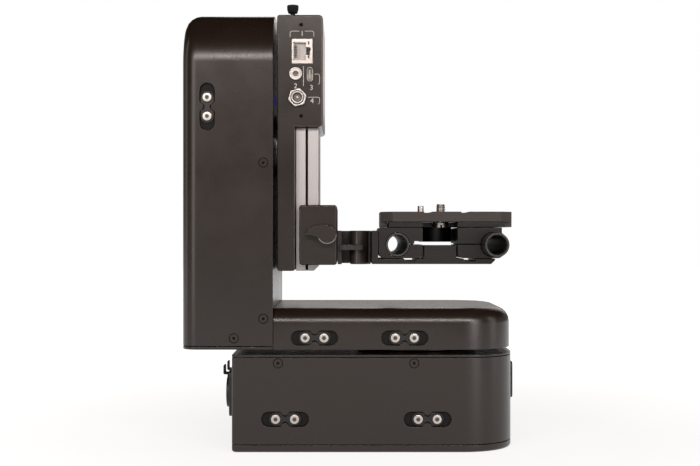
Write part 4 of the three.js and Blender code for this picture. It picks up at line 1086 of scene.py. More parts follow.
@dataclass
class SubAssembly:
    """A group of pieces that are built and dressed together.

    Bright cap screws stand on clamp bars and black sunk screws in countersunk seats. Their depths
    are measured from the face that carries them.
    """

    finishes: Finishes
    made: list[str] = field(default_factory=list)
    # What keeps two pieces apart that lie on each other, and one that stands in another.
    skin: float = 0.02
    fit: float = 0.05
    cap_radius: float = 2.9
    cap_height: float = 1.5
    cap_drive: float = 2.5
    cap_spread: float = 6.05
    cap_shade: float = 0.45
    pocket_length: float = 29.6
    pocket_width: float = 9.2
    pocket_shade_sheet: float = 0.15
    sunk_radius: float = 2.8
    # Depth, and how far the head is drawn in from its radius there.
    sunk_sides: tuple[Flat, ...] = ((0.12, 0.12), (0.22, 0.0), (0.42, 0.0), (1.9, 1.4))
    sunk_drive: float = 1.8
    sunk_drive_depth: float = 1.2
    sunk_drive_turn: float = 0.3
    sunk_shade: Flat = (0.6, 1.3)
    seat_radius: float = 3.2
    seat_rim: float = 0.3
    seat_depth: float = 2.2
    overrun: float = 1.0

    def size(self, node: str) -> tuple[Vector, Vector]:
        """A node's lowest and highest corners, in millimetres."""
        low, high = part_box(node)
        return Vector(low) / MM, Vector(high) / MM

    def middle(self, node: str) -> Vector:
        """The middle of a node's box, in millimetres."""
        low, high = self.size(node)
        return (low + high) / 2

    def put(
        self, name: str, shape: Shape, material: Material, on: str, instead: Iterable[str] = ()
    ) -> Piece:
        """Makes a piece from a shape in millimetres and hangs it on the body that carries a node."""
        return self.hang(mesh_object(name, shape, material), on, instead)

    def hang(self, piece: Piece, on: str, instead: Iterable[str] = ()) -> Piece:
        """Gives a piece its body and the nodes that it stands for.

        Args:
            piece: The piece.
            on: The node whose body and slot it takes.
            instead: The nodes that it stands for.

        Returns:
            The piece.
        """
        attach(piece, BODY_OF[on])
        nodes = list(instead)
        if nodes:
            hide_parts(*nodes)
        self.made.append(piece.name)
        log.info("%s rides with %s", piece.name, on)
        return piece

    def eased(
        self,
        node: str,
        material: Material,
        bevel: float,
        cuts: Sequence[Shape] = (),
        rim: float = 0.0,
    ) -> Piece:
        """Stands a copy with round edges and even shading in for a node.

        Args:
            node: The node.
            material: Its finish.
            bevel: The radius of its edges, in millimetres.
            cuts: Shapes cut out of it, such as the seats of screws.
            rim: A larger radius for the edges round its outside, or 0.

        Returns:
            The piece.
        """
        work = bmesh.new()
        work.from_mesh(frame["nodes"][node].data)
        bmesh.ops.remove_doubles(work, verts=work.verts, dist=WELD)
        edges, corners = list(work.edges), list(work.verts)
        bmesh.ops.dissolve_limit(work, angle_limit=FLAT_ANGLE, verts=corners, edges=edges)
        if rim:
            weigh_edges(work, RIM_REACH * MM, bevel / rim)
        piece = finished_object(f"{node}_finished", work, material, rim or bevel, cuts, bool(rim))
        return self.hang(piece, node, [node])

    def dress(self, nodes: Iterable[str], material: Material) -> None:
        """Gives nodes that keep their own shape a finish.

        Args:
            nodes: The nodes.
            material: Their finish.
        """
        for node in nodes:
            mesh = frame["nodes"][node].data
            mesh.materials.clear()
            mesh.materials.append(material)
            log.info("%s is dressed", node)

    def bar_screws(self, node: str, upright: bool = False) -> None:
        """Puts the two bright cap screws on a waisted clamp bar, with painted shade in their sockets and
        pocket.

        Args:
            node: The bar.
            upright: Whether the bar stands on its end.
        """
        middle, (low, high) = self.middle(node), self.size(node)
        heads, sockets = Shape(), Shape()
        for side in (-self.cap_spread, self.cap_spread):
            x = middle.x + (0 if upright else side)
            z = middle.z + (side if upright else 0)
            face = low.y - self.cap_height
            heads.add(screw_head(Axis.Y, x, z, face, self.cap_radius, self.cap_height, self.cap_drive))
            # A grey plug of painted shade in each socket's floor.
            floor = face + DRIVE_DEPTH_SHARE * self.cap_height
            socket = hexagon(x, z, self.cap_drive - self.fit)
            sockets.add(extrusion(Axis.Y, socket, floor - self.cap_shade, floor - self.skin))
        self.put(f"{node}_screws", heads, self.finishes.steel, node)
        self.put(f"{node}_sockets", sockets, self.finishes.socket, node)
        reach, half = self.pocket_length / 2, self.pocket_width / 2
        wide, tall = (half, reach) if upright else (reach, half)
        left, foot, right, top = middle.x - wide, middle.z - tall, middle.x + wide, middle.z + tall
        outline = rounded(left, foot, right, top, half - self.fit, ROUND_END_STEPS)
        # The lining is painted shade: a black sheet on the pocket's floor.
        lining = extrusion(Axis.Y, outline, high.y - self.pocket_shade_sheet, high.y - self.skin)
        self.put(f"{node}_pocket_shade_sheet", lining, self.finishes.pocket, node)

    def sunk_seats(self, places: Sequence[Flat], face: float) -> list[Shape]:
        """The countersunk seats of screws in a front face.

        Args:
            places: The screws' places across the face.
            face: Where the face lies along Y.

        Returns:
            The shapes to cut out.
        """
        radius = self.seat_radius
        profile = [(0, face - self.overrun), (radius, face - self.overrun), (radius, face + self.seat_rim)]
        profile += [(radius / 2, face + self.seat_depth), (0, face + self.seat_depth)]
        return [turning(Axis.Y, profile, x, z, SMALL_FLATS) for x, z in places]

    def sunk_screws(self, name: str, places: Sequence[Flat], face: float, on: str) -> None:
        """Puts black countersunk screws in their seats, with black painted shade in their sockets.

        Args:
            name: The piece's name.
            places: The screws' places across the face.
            face: Where the face lies along Y.
            on: The node that carries them.
        """
        heads, shade_dots = Shape(), Shape()
        for x, z in places:
            rings = [
                (face + depth, circle(x, z, self.sunk_radius - inset, SMALL_FLATS))
                for depth, inset in self.sunk_sides
            ]
            drive = hexagon(x, z, self.sunk_drive, self.sunk_drive_turn)
            heads.add(recessed(Axis.Y, rings, drive, self.sunk_drive_depth))
            # A black hexagon of painted shade in the floor of each drive.
            drive = hexagon(x, z, self.sunk_drive - self.fit, self.sunk_drive_turn)
            shade_dots.add(extrusion(Axis.Y, drive, *(face + depth for depth in self.sunk_shade)))
        self.put(name, heads, self.finishes.coat, on)
        self.put(f"{name}_sockets", shade_dots, self.finishes.black_screws_and_shade, on)


@dataclass
class PanBase(SubAssembly):
    """The fixed base: housing, plates, clamp bars, connectors and the drive inside."""

    edge: float = 0.35
    screw_places: tuple[Flat, ...] = ((-91.9, 57.2), (-4.7, 57.2))
    connectors: tuple[tuple[str, int], ...] = (("power", 4), ("data", 8))
    flange_front: float = -126.4
    flange_back: float = -124.2
    flange_corner: float = 3.5
    connector_ease: float = 0.4
    collar_radius: float = 10.5
    rear_radius: float = 11.2
    bore: float = 7.6
    bore_end: float = -115.5
    core: float = 4.6
    core_front: float = -123.1
    connector_height: float = 33.8
    contact_circle: float = 2.7
    contact_radius: float = 0.6
    # Along X from the core's front: how far in a contact starts, and how far out it ends.
    contact_root: float = 1.0
    contact_reach: float = 1.2
    contact_tip: float = 1.6
    flange_screw: float = 9.6
    flange_screw_drop: float = 2.5
    flange_screw_radius: float = 2.2
    flange_screw_height: float = 1.1
    flange_screw_drive: float = 1.6

    def build(self) -> None:
        """Builds and dresses the base."""
        coat, milled = self.finishes.coat, self.finishes.milled
        face = self.size("base_housing")[0].y
        self.eased("base_housing", coat, self.edge, self.sunk_seats(self.screw_places, face))
        self.sunk_screws("base_front_screws", self.screw_places, face, "base_housing")
        for node in ("base_top_plate", "base_bottom_plate", "base_end_cover"):
            self.eased(node, coat, self.edge)
        self.eased("connector_panel", milled, self.edge)
        for side in ("left", "right"):
            self.eased(f"base_clamp_{side}", self.finishes.bar, self.edge)
            self.bar_screws(f"base_clamp_{side}")
        for kind, contacts in self.connectors:
            self.connector(kind, contacts)
            self.eased(f"{kind}_latch", self.finishes.plastic, self.edge)
        self.dress(("pan_bearing", "pan_motor", "pan_motor_pulley"), self.finishes.steel)
        self.dress(("pan_motor_mount", "slip_ring_bracket"), milled)
        self.dress(("pan_belt",), self.finishes.rubber)
        self.dress(("slip_ring",), self.finishes.plastic)
        self.dress(("control_board",), self.finishes.board)

    def connector(self, kind: str, contacts: int) -> None:
        """A round socket on a square flange, with contacts on its core and screws in its corners.

        Args:
            kind: The first word of its node's name.
            contacts: How many contacts its core holds.
        """
        node = f"{kind}_connector"
        low, high = self.size(node)
        y, z = self.middle(node).y, self.connector_height
        outline = rounded(low.y, low.z, high.y, high.z, self.flange_corner)
        hole = [circle(y, z, self.collar_radius + self.fit, FLATS)]
        flange = extrusion(Axis.X, outline, self.flange_front, self.flange_back, hole, self.connector_ease)
        profile = [
            (0, high.x),
            (self.rear_radius, high.x),
            (self.rear_radius, self.flange_back),
            (self.collar_radius, self.flange_back),
            (self.collar_radius, low.x),
            (self.bore, low.x),
            (self.bore, self.bore_end),
            (self.core, self.bore_end),
            (self.core, self.core_front),
            (0, self.core_front),
        ]
        collar = turning(Axis.X, eased_profile(profile, self.connector_ease), y, z)
        self.put(f"{node}_shell", flange.add(collar), self.finishes.plastic, node, [node])
        root = self.core_front + self.contact_root
        tip = [(0, root), (self.contact_radius, root)]
        tip += [(self.contact_radius, self.core_front - self.contact_reach)]
        tip += [(0, self.core_front - self.contact_tip)]
        pins = Shape()
        for i in range(contacts):
            angle = FULL_TURN * (i + 0.5) / contacts
            across, up = self.contact_circle * math.cos(angle), self.contact_circle * math.sin(angle)
            pins.add(turning(Axis.X, tip, y + across, z + up, TINY_FLATS))
        self.put(f"{node}_contacts", pins, self.finishes.gold, node)
        heads = Shape()
        sizes = (self.flange_screw_radius, self.flange_screw_height, self.flange_screw_drive)
        for way in (-1, 1):
            across, up = way * self.flange_screw, way * (self.flange_screw + self.flange_screw_drop)
            start = self.flange_front - self.flange_screw_height
            heads.add(screw_head(Axis.X, y + across, z - up, start, *sizes))
        self.put(f"{node}_screws", heads, self.finishes.black_screw, node)


@dataclass
class Arm(SubAssembly):
    """The L shaped arm: foot, tower, plates, clamp bars and the tilt drive inside."""

    edge: float = 0.35
    screw_places: tuple[Flat, ...] = ((-101.35, 185.7), (-101.35, 85.7), (-120.2, 73.2))

    def build(self) -> None:
        """Builds and dresses the arm."""
        coat, milled = self.finishes.coat, self.finishes.milled
        face = self.size("tower_cover")[0].y
        self.eased("tower_cover", coat, self.edge, self.sunk_seats(self.screw_places, face))
        self.sunk_screws("tower_front_screws", self.screw_places, face, "tower_cover")
        for node in ("foot_cover", "tower_bottom_plate", "tower_side_plate"):
            self.eased(node, coat, self.edge)
        for node in ("foot_clamp_left", "foot_clamp_right", "tower_clamp"):
            self.eased(node, self.finishes.bar, self.edge)
            self.bar_screws(node, upright=node == "tower_clamp")
        self.eased("turntable", milled, self.edge)
        self.dress(("pan_pulley", "arm_floor", "tilt_motor_mount"), milled)
        self.dress(("tilt_bearing", "tilt_motor", "tilt_motor_pulley"), self.finishes.steel)
        self.dress(("tilt_belt",), self.finishes.rubber)
        self.dress(("status_window",), self.finishes.lamp)


@dataclass
class Cradle(SubAssembly):
    """The tilting plate, the side cover of the connector housing, and the rail."""

    edge: float = 0.3
    rim: float = 0.9
    # The groove's sides, from the rail's left side, and its floor, from the rail's face.
    groove: Flat = (6.4, 7.7)
    groove_depth: float = 4.0
    groove_shade_sheet: float = 0.04
    groove_inset: float = 0.6

    def build(self) -> None:
        """Builds and dresses the cradle."""
        for node in ("tilt_plate", "box_cover"):
            self.eased(node, self.finishes.coat, self.edge, rim=self.rim)
        self.rail()
        self.dress(("tilt_shaft",), self.finishes.steel)
        self.dress(("tilt_pulley",), self.finishes.milled)
        self.dress(("connector_board",), self.finishes.board)

    def rail(self) -> None:
        """The bright rail, with a thin black sheet of painted shade on the floor of the groove along its
        front.
        """
        self.eased("height_rail", self.finishes.clear, self.edge)
        low, high = self.size("height_rail")
        left, right = (low.x + place for place in self.groove)
        floor = low.y + self.groove_depth
        outline = rectangle(left, floor - self.groove_shade_sheet, right, floor)
        painted_groove_shade = extrusion(Axis.Z, outline, low.z + self.groove_inset, high.z - self.groove_inset)
        self.put("rail_groove_shade", painted_groove_shade, self.finishes.black_screws_and_shade, "height_rail")


@dataclass
class NetworkSocket(SubAssembly):
    """The network socket: shell, grey insert, tinned contacts in painted shade and small slots in painted
    shade.

    The opening, its back and the slots have places in the frame. The tongue and the contacts are
    measured from the opening's left side and the shell's face, and the floor from the back.
    """

    node: str = "network_socket"
    front: float = PANEL_FRONT
    edge: float = 0.12
    opening: tuple[float, float, float, float] = (-82.4, 252.1, -74.2, 263.7)
    back: float = -51.2
    floor: Flat = (0.6, 0.1)
    floor_lap: float = 0.1
    wall: float = 0.5
    wall_start: float = 0.5
    wall_end: float = 0.7
    tongue: Flat = (3.0, 3.7)
    tongue_start: float = 1.0
    tongue_inset: float = 0.9
    contacts: int = 8
    contact_pitch: float = 1.02
    contact_half: float = 0.24
    # Across and inwards.
    contact_bend: tuple[Flat, ...] = ((0.7, 0.9), (2.3, 1.7), (2.3, 2.0), (0.7, 1.3))
    slot_places: tuple[Flat, ...] = ((-72.4, 254.0), (-72.4, 263.2), (-71.6, 259.2))
    slot_half_width: float = 0.5
    slot_half_height: float = 1.1
    slot_depth: float = 0.2

    def build(self) -> None:
        """Builds and dresses the socket."""
        self.eased(self.node, self.finishes.nickel, self.edge)
        self.insert()
        left, low, _, high = self.opening
        contacts = Shape()
        for i in range(self.contacts):
            z = (low + high) / 2 + (i - (self.contacts - 1) / 2) * self.contact_pitch
            bent = [(left + across, self.front + inwards) for across, inwards in self.contact_bend]
            contacts.add(extrusion(Axis.Z, bent, z - self.contact_half, z + self.contact_half))
        self.put("network_contacts", contacts, self.finishes.contact, self.node)
        # Black patches of painted shade where the shell has slots.
        slots = Shape()
        wide, tall = self.slot_half_width, self.slot_half_height
        for x, z in self.slot_places:
            mouth = rectangle(x - wide, z - tall, x + wide, z + tall)
            slots.add(extrusion(Axis.Y, mouth, self.front - INK_PROUD, self.front + self.slot_depth))
        self.put("network_shell_slot_shade", slots, self.finishes.black_plastic_and_shade, self.node)

    def insert(self) -> None:
        """The grey insert: a floor, three walls and the tongue that carries the contacts."""
        left, low, right, high = self.opening
        wall, end = self.wall, self.back - self.wall_end
        floor = rectangle(left + wall, low + wall, right + self.floor_lap, high - wall)
        liner = extrusion(Axis.Y, floor, *(self.back - place for place in self.floor))
        walls = [(left, low, left + wall, high), (left, low, right, low + wall)]
        walls += [(left, high - wall, right, high)]
        for sides in walls:
            liner.add(extrusion(Axis.Y, rectangle(*sides), self.front + self.wall_start, end))
        start, stop = (left + place for place in self.tongue)
        tongue = rectangle(start, low + self.tongue_inset, stop, high - self.tongue_inset)
        liner.add(extrusion(Axis.Y, tongue, self.front + self.tongue_start, end))
        self.put("network_insert", liner, self.finishes.grey_plastic, self.node)


@dataclass
class JackSocket(SubAssembly):
    """The round jack socket, with a turned groove in its flange and an inner sleeve in grey plastic darkened
    as painted shade.

    Depths are measured from its face, but its floor and the sleeve's end from its back.
    """

    node: str = "jack_socket"
    barrel: float = 3.0
    flange: float = 4.05
    flange_depth: float = 1.0
    groove: Flat = (2.5, 3.2)
    groove_depth: float = 0.25
    bore: float = 1.85
    floor: float = 2.0
    ease: float = 0.2
    sleeve: float = 1.84
    # Radius and depth of the sleeve's mouth.
    sleeve_mouth: tuple[Flat, ...] = ((0, 1.5), (1.1, 1.5), (1.3, 0.6))
    sleeve_start: float = 0.5
    sleeve_end: float = 2.2

    def build(self) -> None:
        """Builds and dresses the socket."""
        low, high = self.size(self.node)
        x, z = self.middle(self.node).x, self.middle(self.node).z
        back, lip, groove = low.y + self.flange_depth, low.y, low.y + self.groove_depth
        inner, outer = self.groove
        profile = [(0, high.y), (self.barrel, high.y), (self.barrel, back)]
        profile += [(self.flange, back), (self.flange, lip)]
        profile += [(outer, lip), (outer, groove), (inner, groove), (inner, lip)]
        profile += [(self.bore, lip), (self.bore, high.y - self.floor), (0, high.y - self.floor)]
        body = turning(Axis.Y, eased_profile(profile, self.ease), x, z)
        self.put(f"{self.node}_body", body, self.finishes.nickel, self.node, [self.node])
        mouth = [(radius, low.y + depth) for radius, depth in self.sleeve_mouth]
        sleeve = [*mouth, (self.sleeve, low.y + self.sleeve_start)]
        sleeve += [(self.sleeve, high.y - self.sleeve_end), (0, high.y - self.sleeve_end)]
        shape = turning(Axis.Y, sleeve, x, z, SMALL_FLATS)
        self.put(f"{self.node}_sleeve", shape, self.finishes.dim_plastic, self.node)


@dataclass
class SlimPort(SubAssembly):
    """The slim upright port: a rolled shell round a tongue with contacts on both sides."""

    node: str = "usb_socket"
    wall: float = 0.42
    edge: float = 0.12
    back_inset: float = 0.1
    back_start: float = 0.9
    shell_end: float = 1.0
    tongue_half_width: float = 0.4
    tongue_half_height: float = 3.2
    tongue_corner: float = 0.15
    tongue_edge: float = 0.1
    tongue_start: float = 0.7
    contacts: int = 12
    contact_side: float = 0.41
    contact_pitch: float = 0.5
    contact_half_width: float = 0.03
    contact_half_height: float = 0.13
    contact_depths: Flat = (1.0, 4.0)

    def build(self) -> None:
        """Builds and dresses the port."""
        low, high = self.size(self.node)
        middle = self.middle(self.node)
        outer = rounded(
            low.x, low.z, high.x, high.z, (high.x - low.x) / 2 - self.skin, ROUND_END_STEPS
        )
        end = high.y - self.shell_end
        shell = extrusion(Axis.Y, outer, low.y, end, [drawn_in(outer, self.wall)], self.edge)
        back = extrusion(Axis.Y, drawn_in(outer, self.back_inset), high.y - self.back_start, high.y)
        self.put(f"{self.node}_shell", shell.add(back), self.finishes.nickel, self.node, [self.node])
        wide, tall = self.tongue_half_width, self.tongue_half_height
        tongue = rounded(
            middle.x - wide, middle.z - tall, middle.x + wide, middle.z + tall, self.tongue_corner, EDGE_STEPS
        )
        shape = extrusion(Axis.Y, tongue, low.y + self.tongue_start, end, ease=self.tongue_edge)
        self.put(f"{self.node}_tongue", shape, self.finishes.grey_plastic, self.node)
        pads = Shape()
        wide, tall = self.contact_half_width, self.contact_half_height
        for side in (-self.contact_side, self.contact_side):
            x = middle.x + side
            for i in range(self.contacts):
                z = middle.z + (i - (self.contacts - 1) / 2) * self.contact_pitch
                pad = rectangle(x - wide, z - tall, x + wide, z + tall)
                pads.add(extrusion(Axis.Y, pad, *(low.y + depth for depth in self.contact_depths)))
        self.put(f"{self.node}_pads", pads, self.finishes.nickel, self.node)


@dataclass
class PowerSocket(SubAssembly):
    """The power socket: barrel with a centre pin, dark sleeve, insulator and hexagon nut.

    Depths are measured from its face.
    """

    node: str = "power_socket"
    nut: str = "power_socket_nut"
    barrel: float = 4.0
    mouth: float = 3.9
    mouth_depth: float = 0.5
    bore: float = 3.1
    bore_depth: float = 10.0
    pin: float = 0.9
    pin_tip: float = 0.6
    pin_start: float = 0.7
    pin_shoulder: float = 1.0
    ease: float = 0.15
    sleeve: Flat = (2.6, 3.08)
    sleeve_depths: Flat = (0.4, 9.8)
    insulator: Flat = (0.92, 2.5)
    insulator_depths: Flat = (1.6, 2.4)
    nut_back: float = -54.3
    nut_bore: float = 4.35
    nut_side: float = 6.2
    nut_reach: float = 5.95
    nut_turn: float = FULL_TURN / 24
    nut_ease: float = 0.35

    def build(self) -> None:
        """Builds and dresses the socket and its nut."""
        low, high = self.size(self.node)
        x, z = self.middle(self.node).x, self.middle(self.node).z
        face, floor = low.y, low.y + self.bore_depth
        profile = [(0, high.y), (self.barrel, high.y), (self.barrel, face + self.mouth_depth)]
        profile += [(self.mouth, face), (self.bore, face), (self.bore, floor), (self.pin, floor)]
        profile += [(self.pin, face + self.pin_shoulder), (self.pin_tip, face + self.pin_start)]
        profile += [(0, face + self.pin_start)]
        barrel = turning(Axis.Y, eased_profile(profile, self.ease), x, z)
        self.put(f"{self.node}_barrel", barrel, self.finishes.nickel, self.node, [self.node])
        linings = [("sleeve", self.sleeve, self.sleeve_depths, self.finishes.black_plastic_and_shade)]
        # The insulator wears the grey plastic darkened as painted shade.
        linings += [("insulator", self.insulator, self.insulator_depths, self.finishes.dim_plastic)]
        for name, radii, depths, material in linings:
            ring = tube_profile(*radii, *(face + depth for depth in depths))
            self.put(f"{self.node}_{name}", turning(Axis.Y, ring, x, z, MEDIUM_FLATS), material, self.node)
        hole = circle(x, z, self.nut_bore, FLATS)
        outline = turned_hexagon(x, z, self.nut_side * math.sqrt(3), self.nut_reach, self.nut_turn)
        start = self.size(self.nut)[0].y
        shape = extrusion(Axis.Y, outline, start, self.nut_back, [hole], self.nut_ease, both=False)
        self.put(f"{self.nut}_body", shape, self.finishes.nickel, self.nut, [self.nut])


@dataclass
class PanelPrint(SubAssembly):
    """Thin printed lines that group the sockets on the panel, and plain numbers."""

    front: float = PANEL_FRONT
    line: float = 0.3
    arch_middle: float = -76.75
    arch_left: float = -84.4
    arch_foot: float = 267.2
    arch_top: float = 270.8
    arch_end: float = -78.6
    arch_radius: float = 1.4
    bracket_right: float = -65.4
    bracket_radius: float = 1.0
    bracket_steps: int = 5
    # Where each bracket's line starts, its height and the height of its foot.
    brackets: tuple[tuple[tuple[float, ...], float, float], ...] = (
        ((-68.9, -66.6), 243.1, 236.6),
        ((-72.9,), 228.2, 223.8),
    )
    divider: tuple[Flat, Flat] = ((-75.8, 235.4), (-75.8, 248.2))
    digit_height: float = 3.4
    font_share: float = 1.35
    digits: tuple[tuple[str, float, float], ...] = (
        ("1", -76.6, 267.6),
        ("2", -80.9, 233.9),
        ("3", -70.6, 232.9),
        ("4", -70.2, 224.4),
    )

    def bracket(self, starts: Sequence[float], top: float, low: float) -> Loop:
        """The line that goes right and turns down round a socket's number.

        Args:
            starts: Places along its level part.
            top: The level part's height.
            low: The height of its foot.

        Returns:
            The line's points.
        """
        radius, steps = self.bracket_radius, self.bracket_steps
        x = self.bracket_right - radius
        down = arc(x, top - radius, radius, QUARTER_TURN, 0, steps)
        back = arc(x, low + radius, radius, 0, -QUARTER_TURN, steps)
        return [(start, top) for start in starts] + down + back

    def build(self) -> None:
        """Prints the lines and the numbers."""
        x, z = self.arch_left + self.arch_radius, self.arch_top - self.arch_radius
        bend = arc(x, z, self.arch_radius, math.pi, QUARTER_TURN, CORNER_STEPS)
        arch = [(self.arch_left, self.arch_foot)] + bend + [(self.arch_end, self.arch_top)]
        mirror = [(2 * self.arch_middle - x, z) for x, z in arch]
        brackets = [self.bracket(*places) for places in self.brackets]
        lines = Shape()
        for points in (arch, mirror, self.divider, *brackets):
            band = ribbon(points, self.line)
            lines.add(extrusion(Axis.Y, band, self.front - INK_PROUD, self.front + INK_PROUD))
        self.put("printed_lines", lines, self.finishes.ink, "tilt_plate")
        for digit, x, z in self.digits:
            self.printed_digit(digit, x, z)

    def printed_digit(self, digit: str, x: float, z: float) -> None:
        """A plain number printed on the front face.

        Args:
            digit: The number.
            x: Its middle, across.
            z: Its foot.
        """
        text = bpy.data.curves.new(f"printed_{digit}", "FONT")
        text.body, text.align_x = digit, "CENTER"
        text.size, text.extrude = self.digit_height * MM * self.font_share, INK_PROUD * MM
        source = bpy.data.objects.new(f"printed_{digit}_source", text)
        bpy.context.scene.collection.objects.link(source)
        graph = bpy.context.evaluated_depsgraph_get()
        mesh = bpy.data.meshes.new_from_object(source.evaluated_get(graph))
        bpy.data.objects.remove(source)
        for corner in mesh.vertices:
            across, up, out = corner.co
            corner.co = Vector((x * MM + across, self.front * MM - out, z * MM + up))
        mesh.materials.clear()
        mesh.materials.append(self.finishes.ink)
        piece = bpy.data.objects.new(f"printed_{digit}", mesh)
        bpy.context.scene.collection.objects.link(piece)
        self.hang(piece, "tilt_plate")


@dataclass
class PullKnob(SubAssembly):
    """The sprung pull knob with its knurled sides, and the sleeve with a nut under it."""

    bore: float = 1.85
    nut_height: float = 2.6
    nut_side: float = 4.4
    nut_ease: float = 0.3
    sleeve_radius: float = 3.15
    sleeve_ease: float = 0.2
    teeth: int = 26
    # Distance under the top, radius and depth of the knurl.
    grip: tuple[tuple[float, float, float], ...] = (
        (5.4, 2.9, 0.03),
        (5.1, 3.15, 0.06),
        (4.2, 3.4, 0.2),
        (2.8, 3.8, 0.22),
        (1.0, 3.88, 0.22),
        (0.35, 3.88, 0.08),
        (0.0, 3.5, 0.02),
    )
    pin: float = 1.55
    pin_tip: float = 1.2
    pin_bevel: float = 0.4
    pin_lap: float = 0.1

    def build(self) -> None:
        """Builds and dresses the knob and its sleeve."""
        low, high = self.size("plunger_body")
        x, y = self.middle("plunger_body").x, self.middle("plunger_body").y
        bore = [circle(x, y, self.bore, BORE_FLATS)]
        seat = high.z - self.nut_height
        outline = hexagon(x, y, self.nut_side * math.sqrt(3))
        nut = extrusion(Axis.Z, outline, seat, high.z, bore, self.nut_ease)
        sleeve = extrusion(
            Axis.Z, circle(x, y, self.sleeve_radius), low.z, seat - self.skin, bore, self.sleeve_ease
        )
        self.put("plunger_sleeve", nut.add(sleeve), self.finishes.steel, "plunger_body", ["plunger_body"])
        low, high = self.size("pull_knob")
        rings = [
            (high.z - under, toothed(x, y, radius, self.teeth, depth)) for under, radius, depth in self.grip
        ]
        grip = lofted(Axis.Z, rings)
        top = rings[0][0] + self.pin_lap
        pin = [(0, low.z), (self.pin_tip, low.z), (self.pin, low.z + self.pin_bevel)]
        pin += [(self.pin, top), (0, top)]
        grip.add(turning(Axis.Z, pin, x, y, BORE_FLATS))
        self.put("pull_knob_grip", grip, self.finishes.knob, "pull_knob", ["pull_knob"])


@dataclass
class PanelScrews(SubAssembly):
    """The two small black screws above and below the sockets."""

    front: float = PANEL_FRONT
    screw_places: tuple[Flat, ...] = ((-77.3, 275.0), (-77.3, 216.1))
    screw_radius: float = 1.4
    screw_height: float = 1.2
    screw_drive: float = 1.2

    def build(self) -> None:
        """Builds the screws."""
        heads = Shape()
        sizes = (self.screw_radius, self.screw_height, self.screw_drive)
        for x, z in self.screw_places:
            heads.add(screw_head(Axis.Y, x, z, self.front + self.fit, *sizes))
        self.put("panel_screws", heads, self.finishes.black_screws_and_shade, "tilt_plate")


@dataclass
class Carriage(SubAssembly):
    """The block on the rail, its lever and the bracket that carries the platform.

    The lever's places are measured from the middle of its hub, and its depths from its face.
    """

    edge: float = 0.4
    hub_start: float = 0.3
    hub_bevel: Flat = (0.8, 1.0)
    hub_back: float = 6.4
    hub_ease: float = 0.3
    hub_steps: int = 4
    stud: float = 2.4
    lever_reach: float = 13.9
    lever_depth: float = 4.4
    lever_ease: float = 0.35
    # The points that the lever's top line leaves towards, arrives from and ends at.
    top_inset: float = 0.1
    top_pull: float = 9.0
    top_lead: Flat = (11.0, 4.2)
    tip_top: float = 0.7
    tip_middle: float = 0.1
    tip_radius: float = 0.6
    # The same for its under line, which ends at a share of the lap across and down.
    under_start: float = 0.5
    under_pull: Flat = (5.0, 0.6)
    under_lead: float = 2.4
    under_share: float = 0.71
    line_steps: int = 20
    lap_inset: float = 0.85
    lap_start: float = -3 * QUARTER_TURN / 2
    lap_end: float = QUARTER_TURN * 0.8
    lap_steps: int = 30
    rim_inset: float = 0.7
    rim_depths: tuple[float, float, float] = (0.27, 0.75, 1.4)

    def build(self) -> None:
        """Builds and dresses the carriage."""
        self.eased("carriage_block", self.finishes.coat, self.edge)
        self.eased("side_bracket", self.finishes.upright, self.edge)
        self.lever()

    def handle(self, x: float, z: float, radius: float) -> Loop:
        """The comma shaped outline of the lever.

        Args:
            x: The hub's middle, across.
            z: The hub's middle, up.
            radius: The hub's radius.

        Returns:
            The closed outline.
        """
        tip, lap = x - self.lever_reach, radius - self.lap_inset
        start, pull = (x, z + radius - self.top_inset), (x - self.top_pull, z + radius)
        lead = (x - self.top_lead[0], z + self.top_lead[1])
        top = curve(start, pull, lead, (tip, z + self.tip_top), self.line_steps)
        middle = z + self.tip_middle
        end = arc(tip, middle, self.tip_radius, QUARTER_TURN, 3 * QUARTER_TURN, CORNER_STEPS)[1:-1]
        foot = (x - lap * self.under_share, z - lap * self.under_share)
        pull = (tip + self.under_pull[0], z - self.under_pull[1])
        lead = (foot[0] - self.under_lead, foot[1] + self.under_lead)
        under = curve((tip, z - self.under_start), pull, lead, foot, self.line_steps)
        hub = arc(x, z, lap, self.lap_start, self.lap_end, self.lap_steps)[1:]
        return top[:-1] + end + under + hub

    def lever(self) -> None:
        """The clamp lever: a comma shaped handle on a round hub, with a grey rim as a painted highlight."""
        node = "clamp_lever"
        low, high = self.size(node)
        z = self.middle(node).z
        radius = (high.z - low.z) / 2
        x = high.x - radius
        start, back = low.y + self.hub_start, low.y + self.hub_back
        inset, bevel = self.hub_bevel
        profile = [(0, back), (radius, back), (radius, low.y + bevel), (radius - inset, start), (0, start)]
        hub = turning(Axis.Y, eased_profile(profile, self.hub_ease, self.hub_steps), x, z, FINE_FLATS)
        outline = self.handle(x, z, radius)
        end = low.y + self.lever_depth
        arm = extrusion(Axis.Y, outline, low.y, end, ease=self.lever_ease, steps=self.hub_steps)
        stud = turning(Axis.Y, bar_profile(self.stud, back + self.skin, high.y), x, z, SMALL_FLATS)
        self.put("lever_handle", hub.add(arm, stud), self.finishes.coat, node, [node])
        inner = radius - self.rim_inset
        near, rim, far = (low.y + depth for depth in self.rim_depths)
        ring = [(inner, near), (radius, rim), (radius, far), (inner, far), (inner, near)]
        self.put("lever_rim_highlight", turning(Axis.Y, ring, x, z, FINE_FLATS), self.finishes.rim, node)


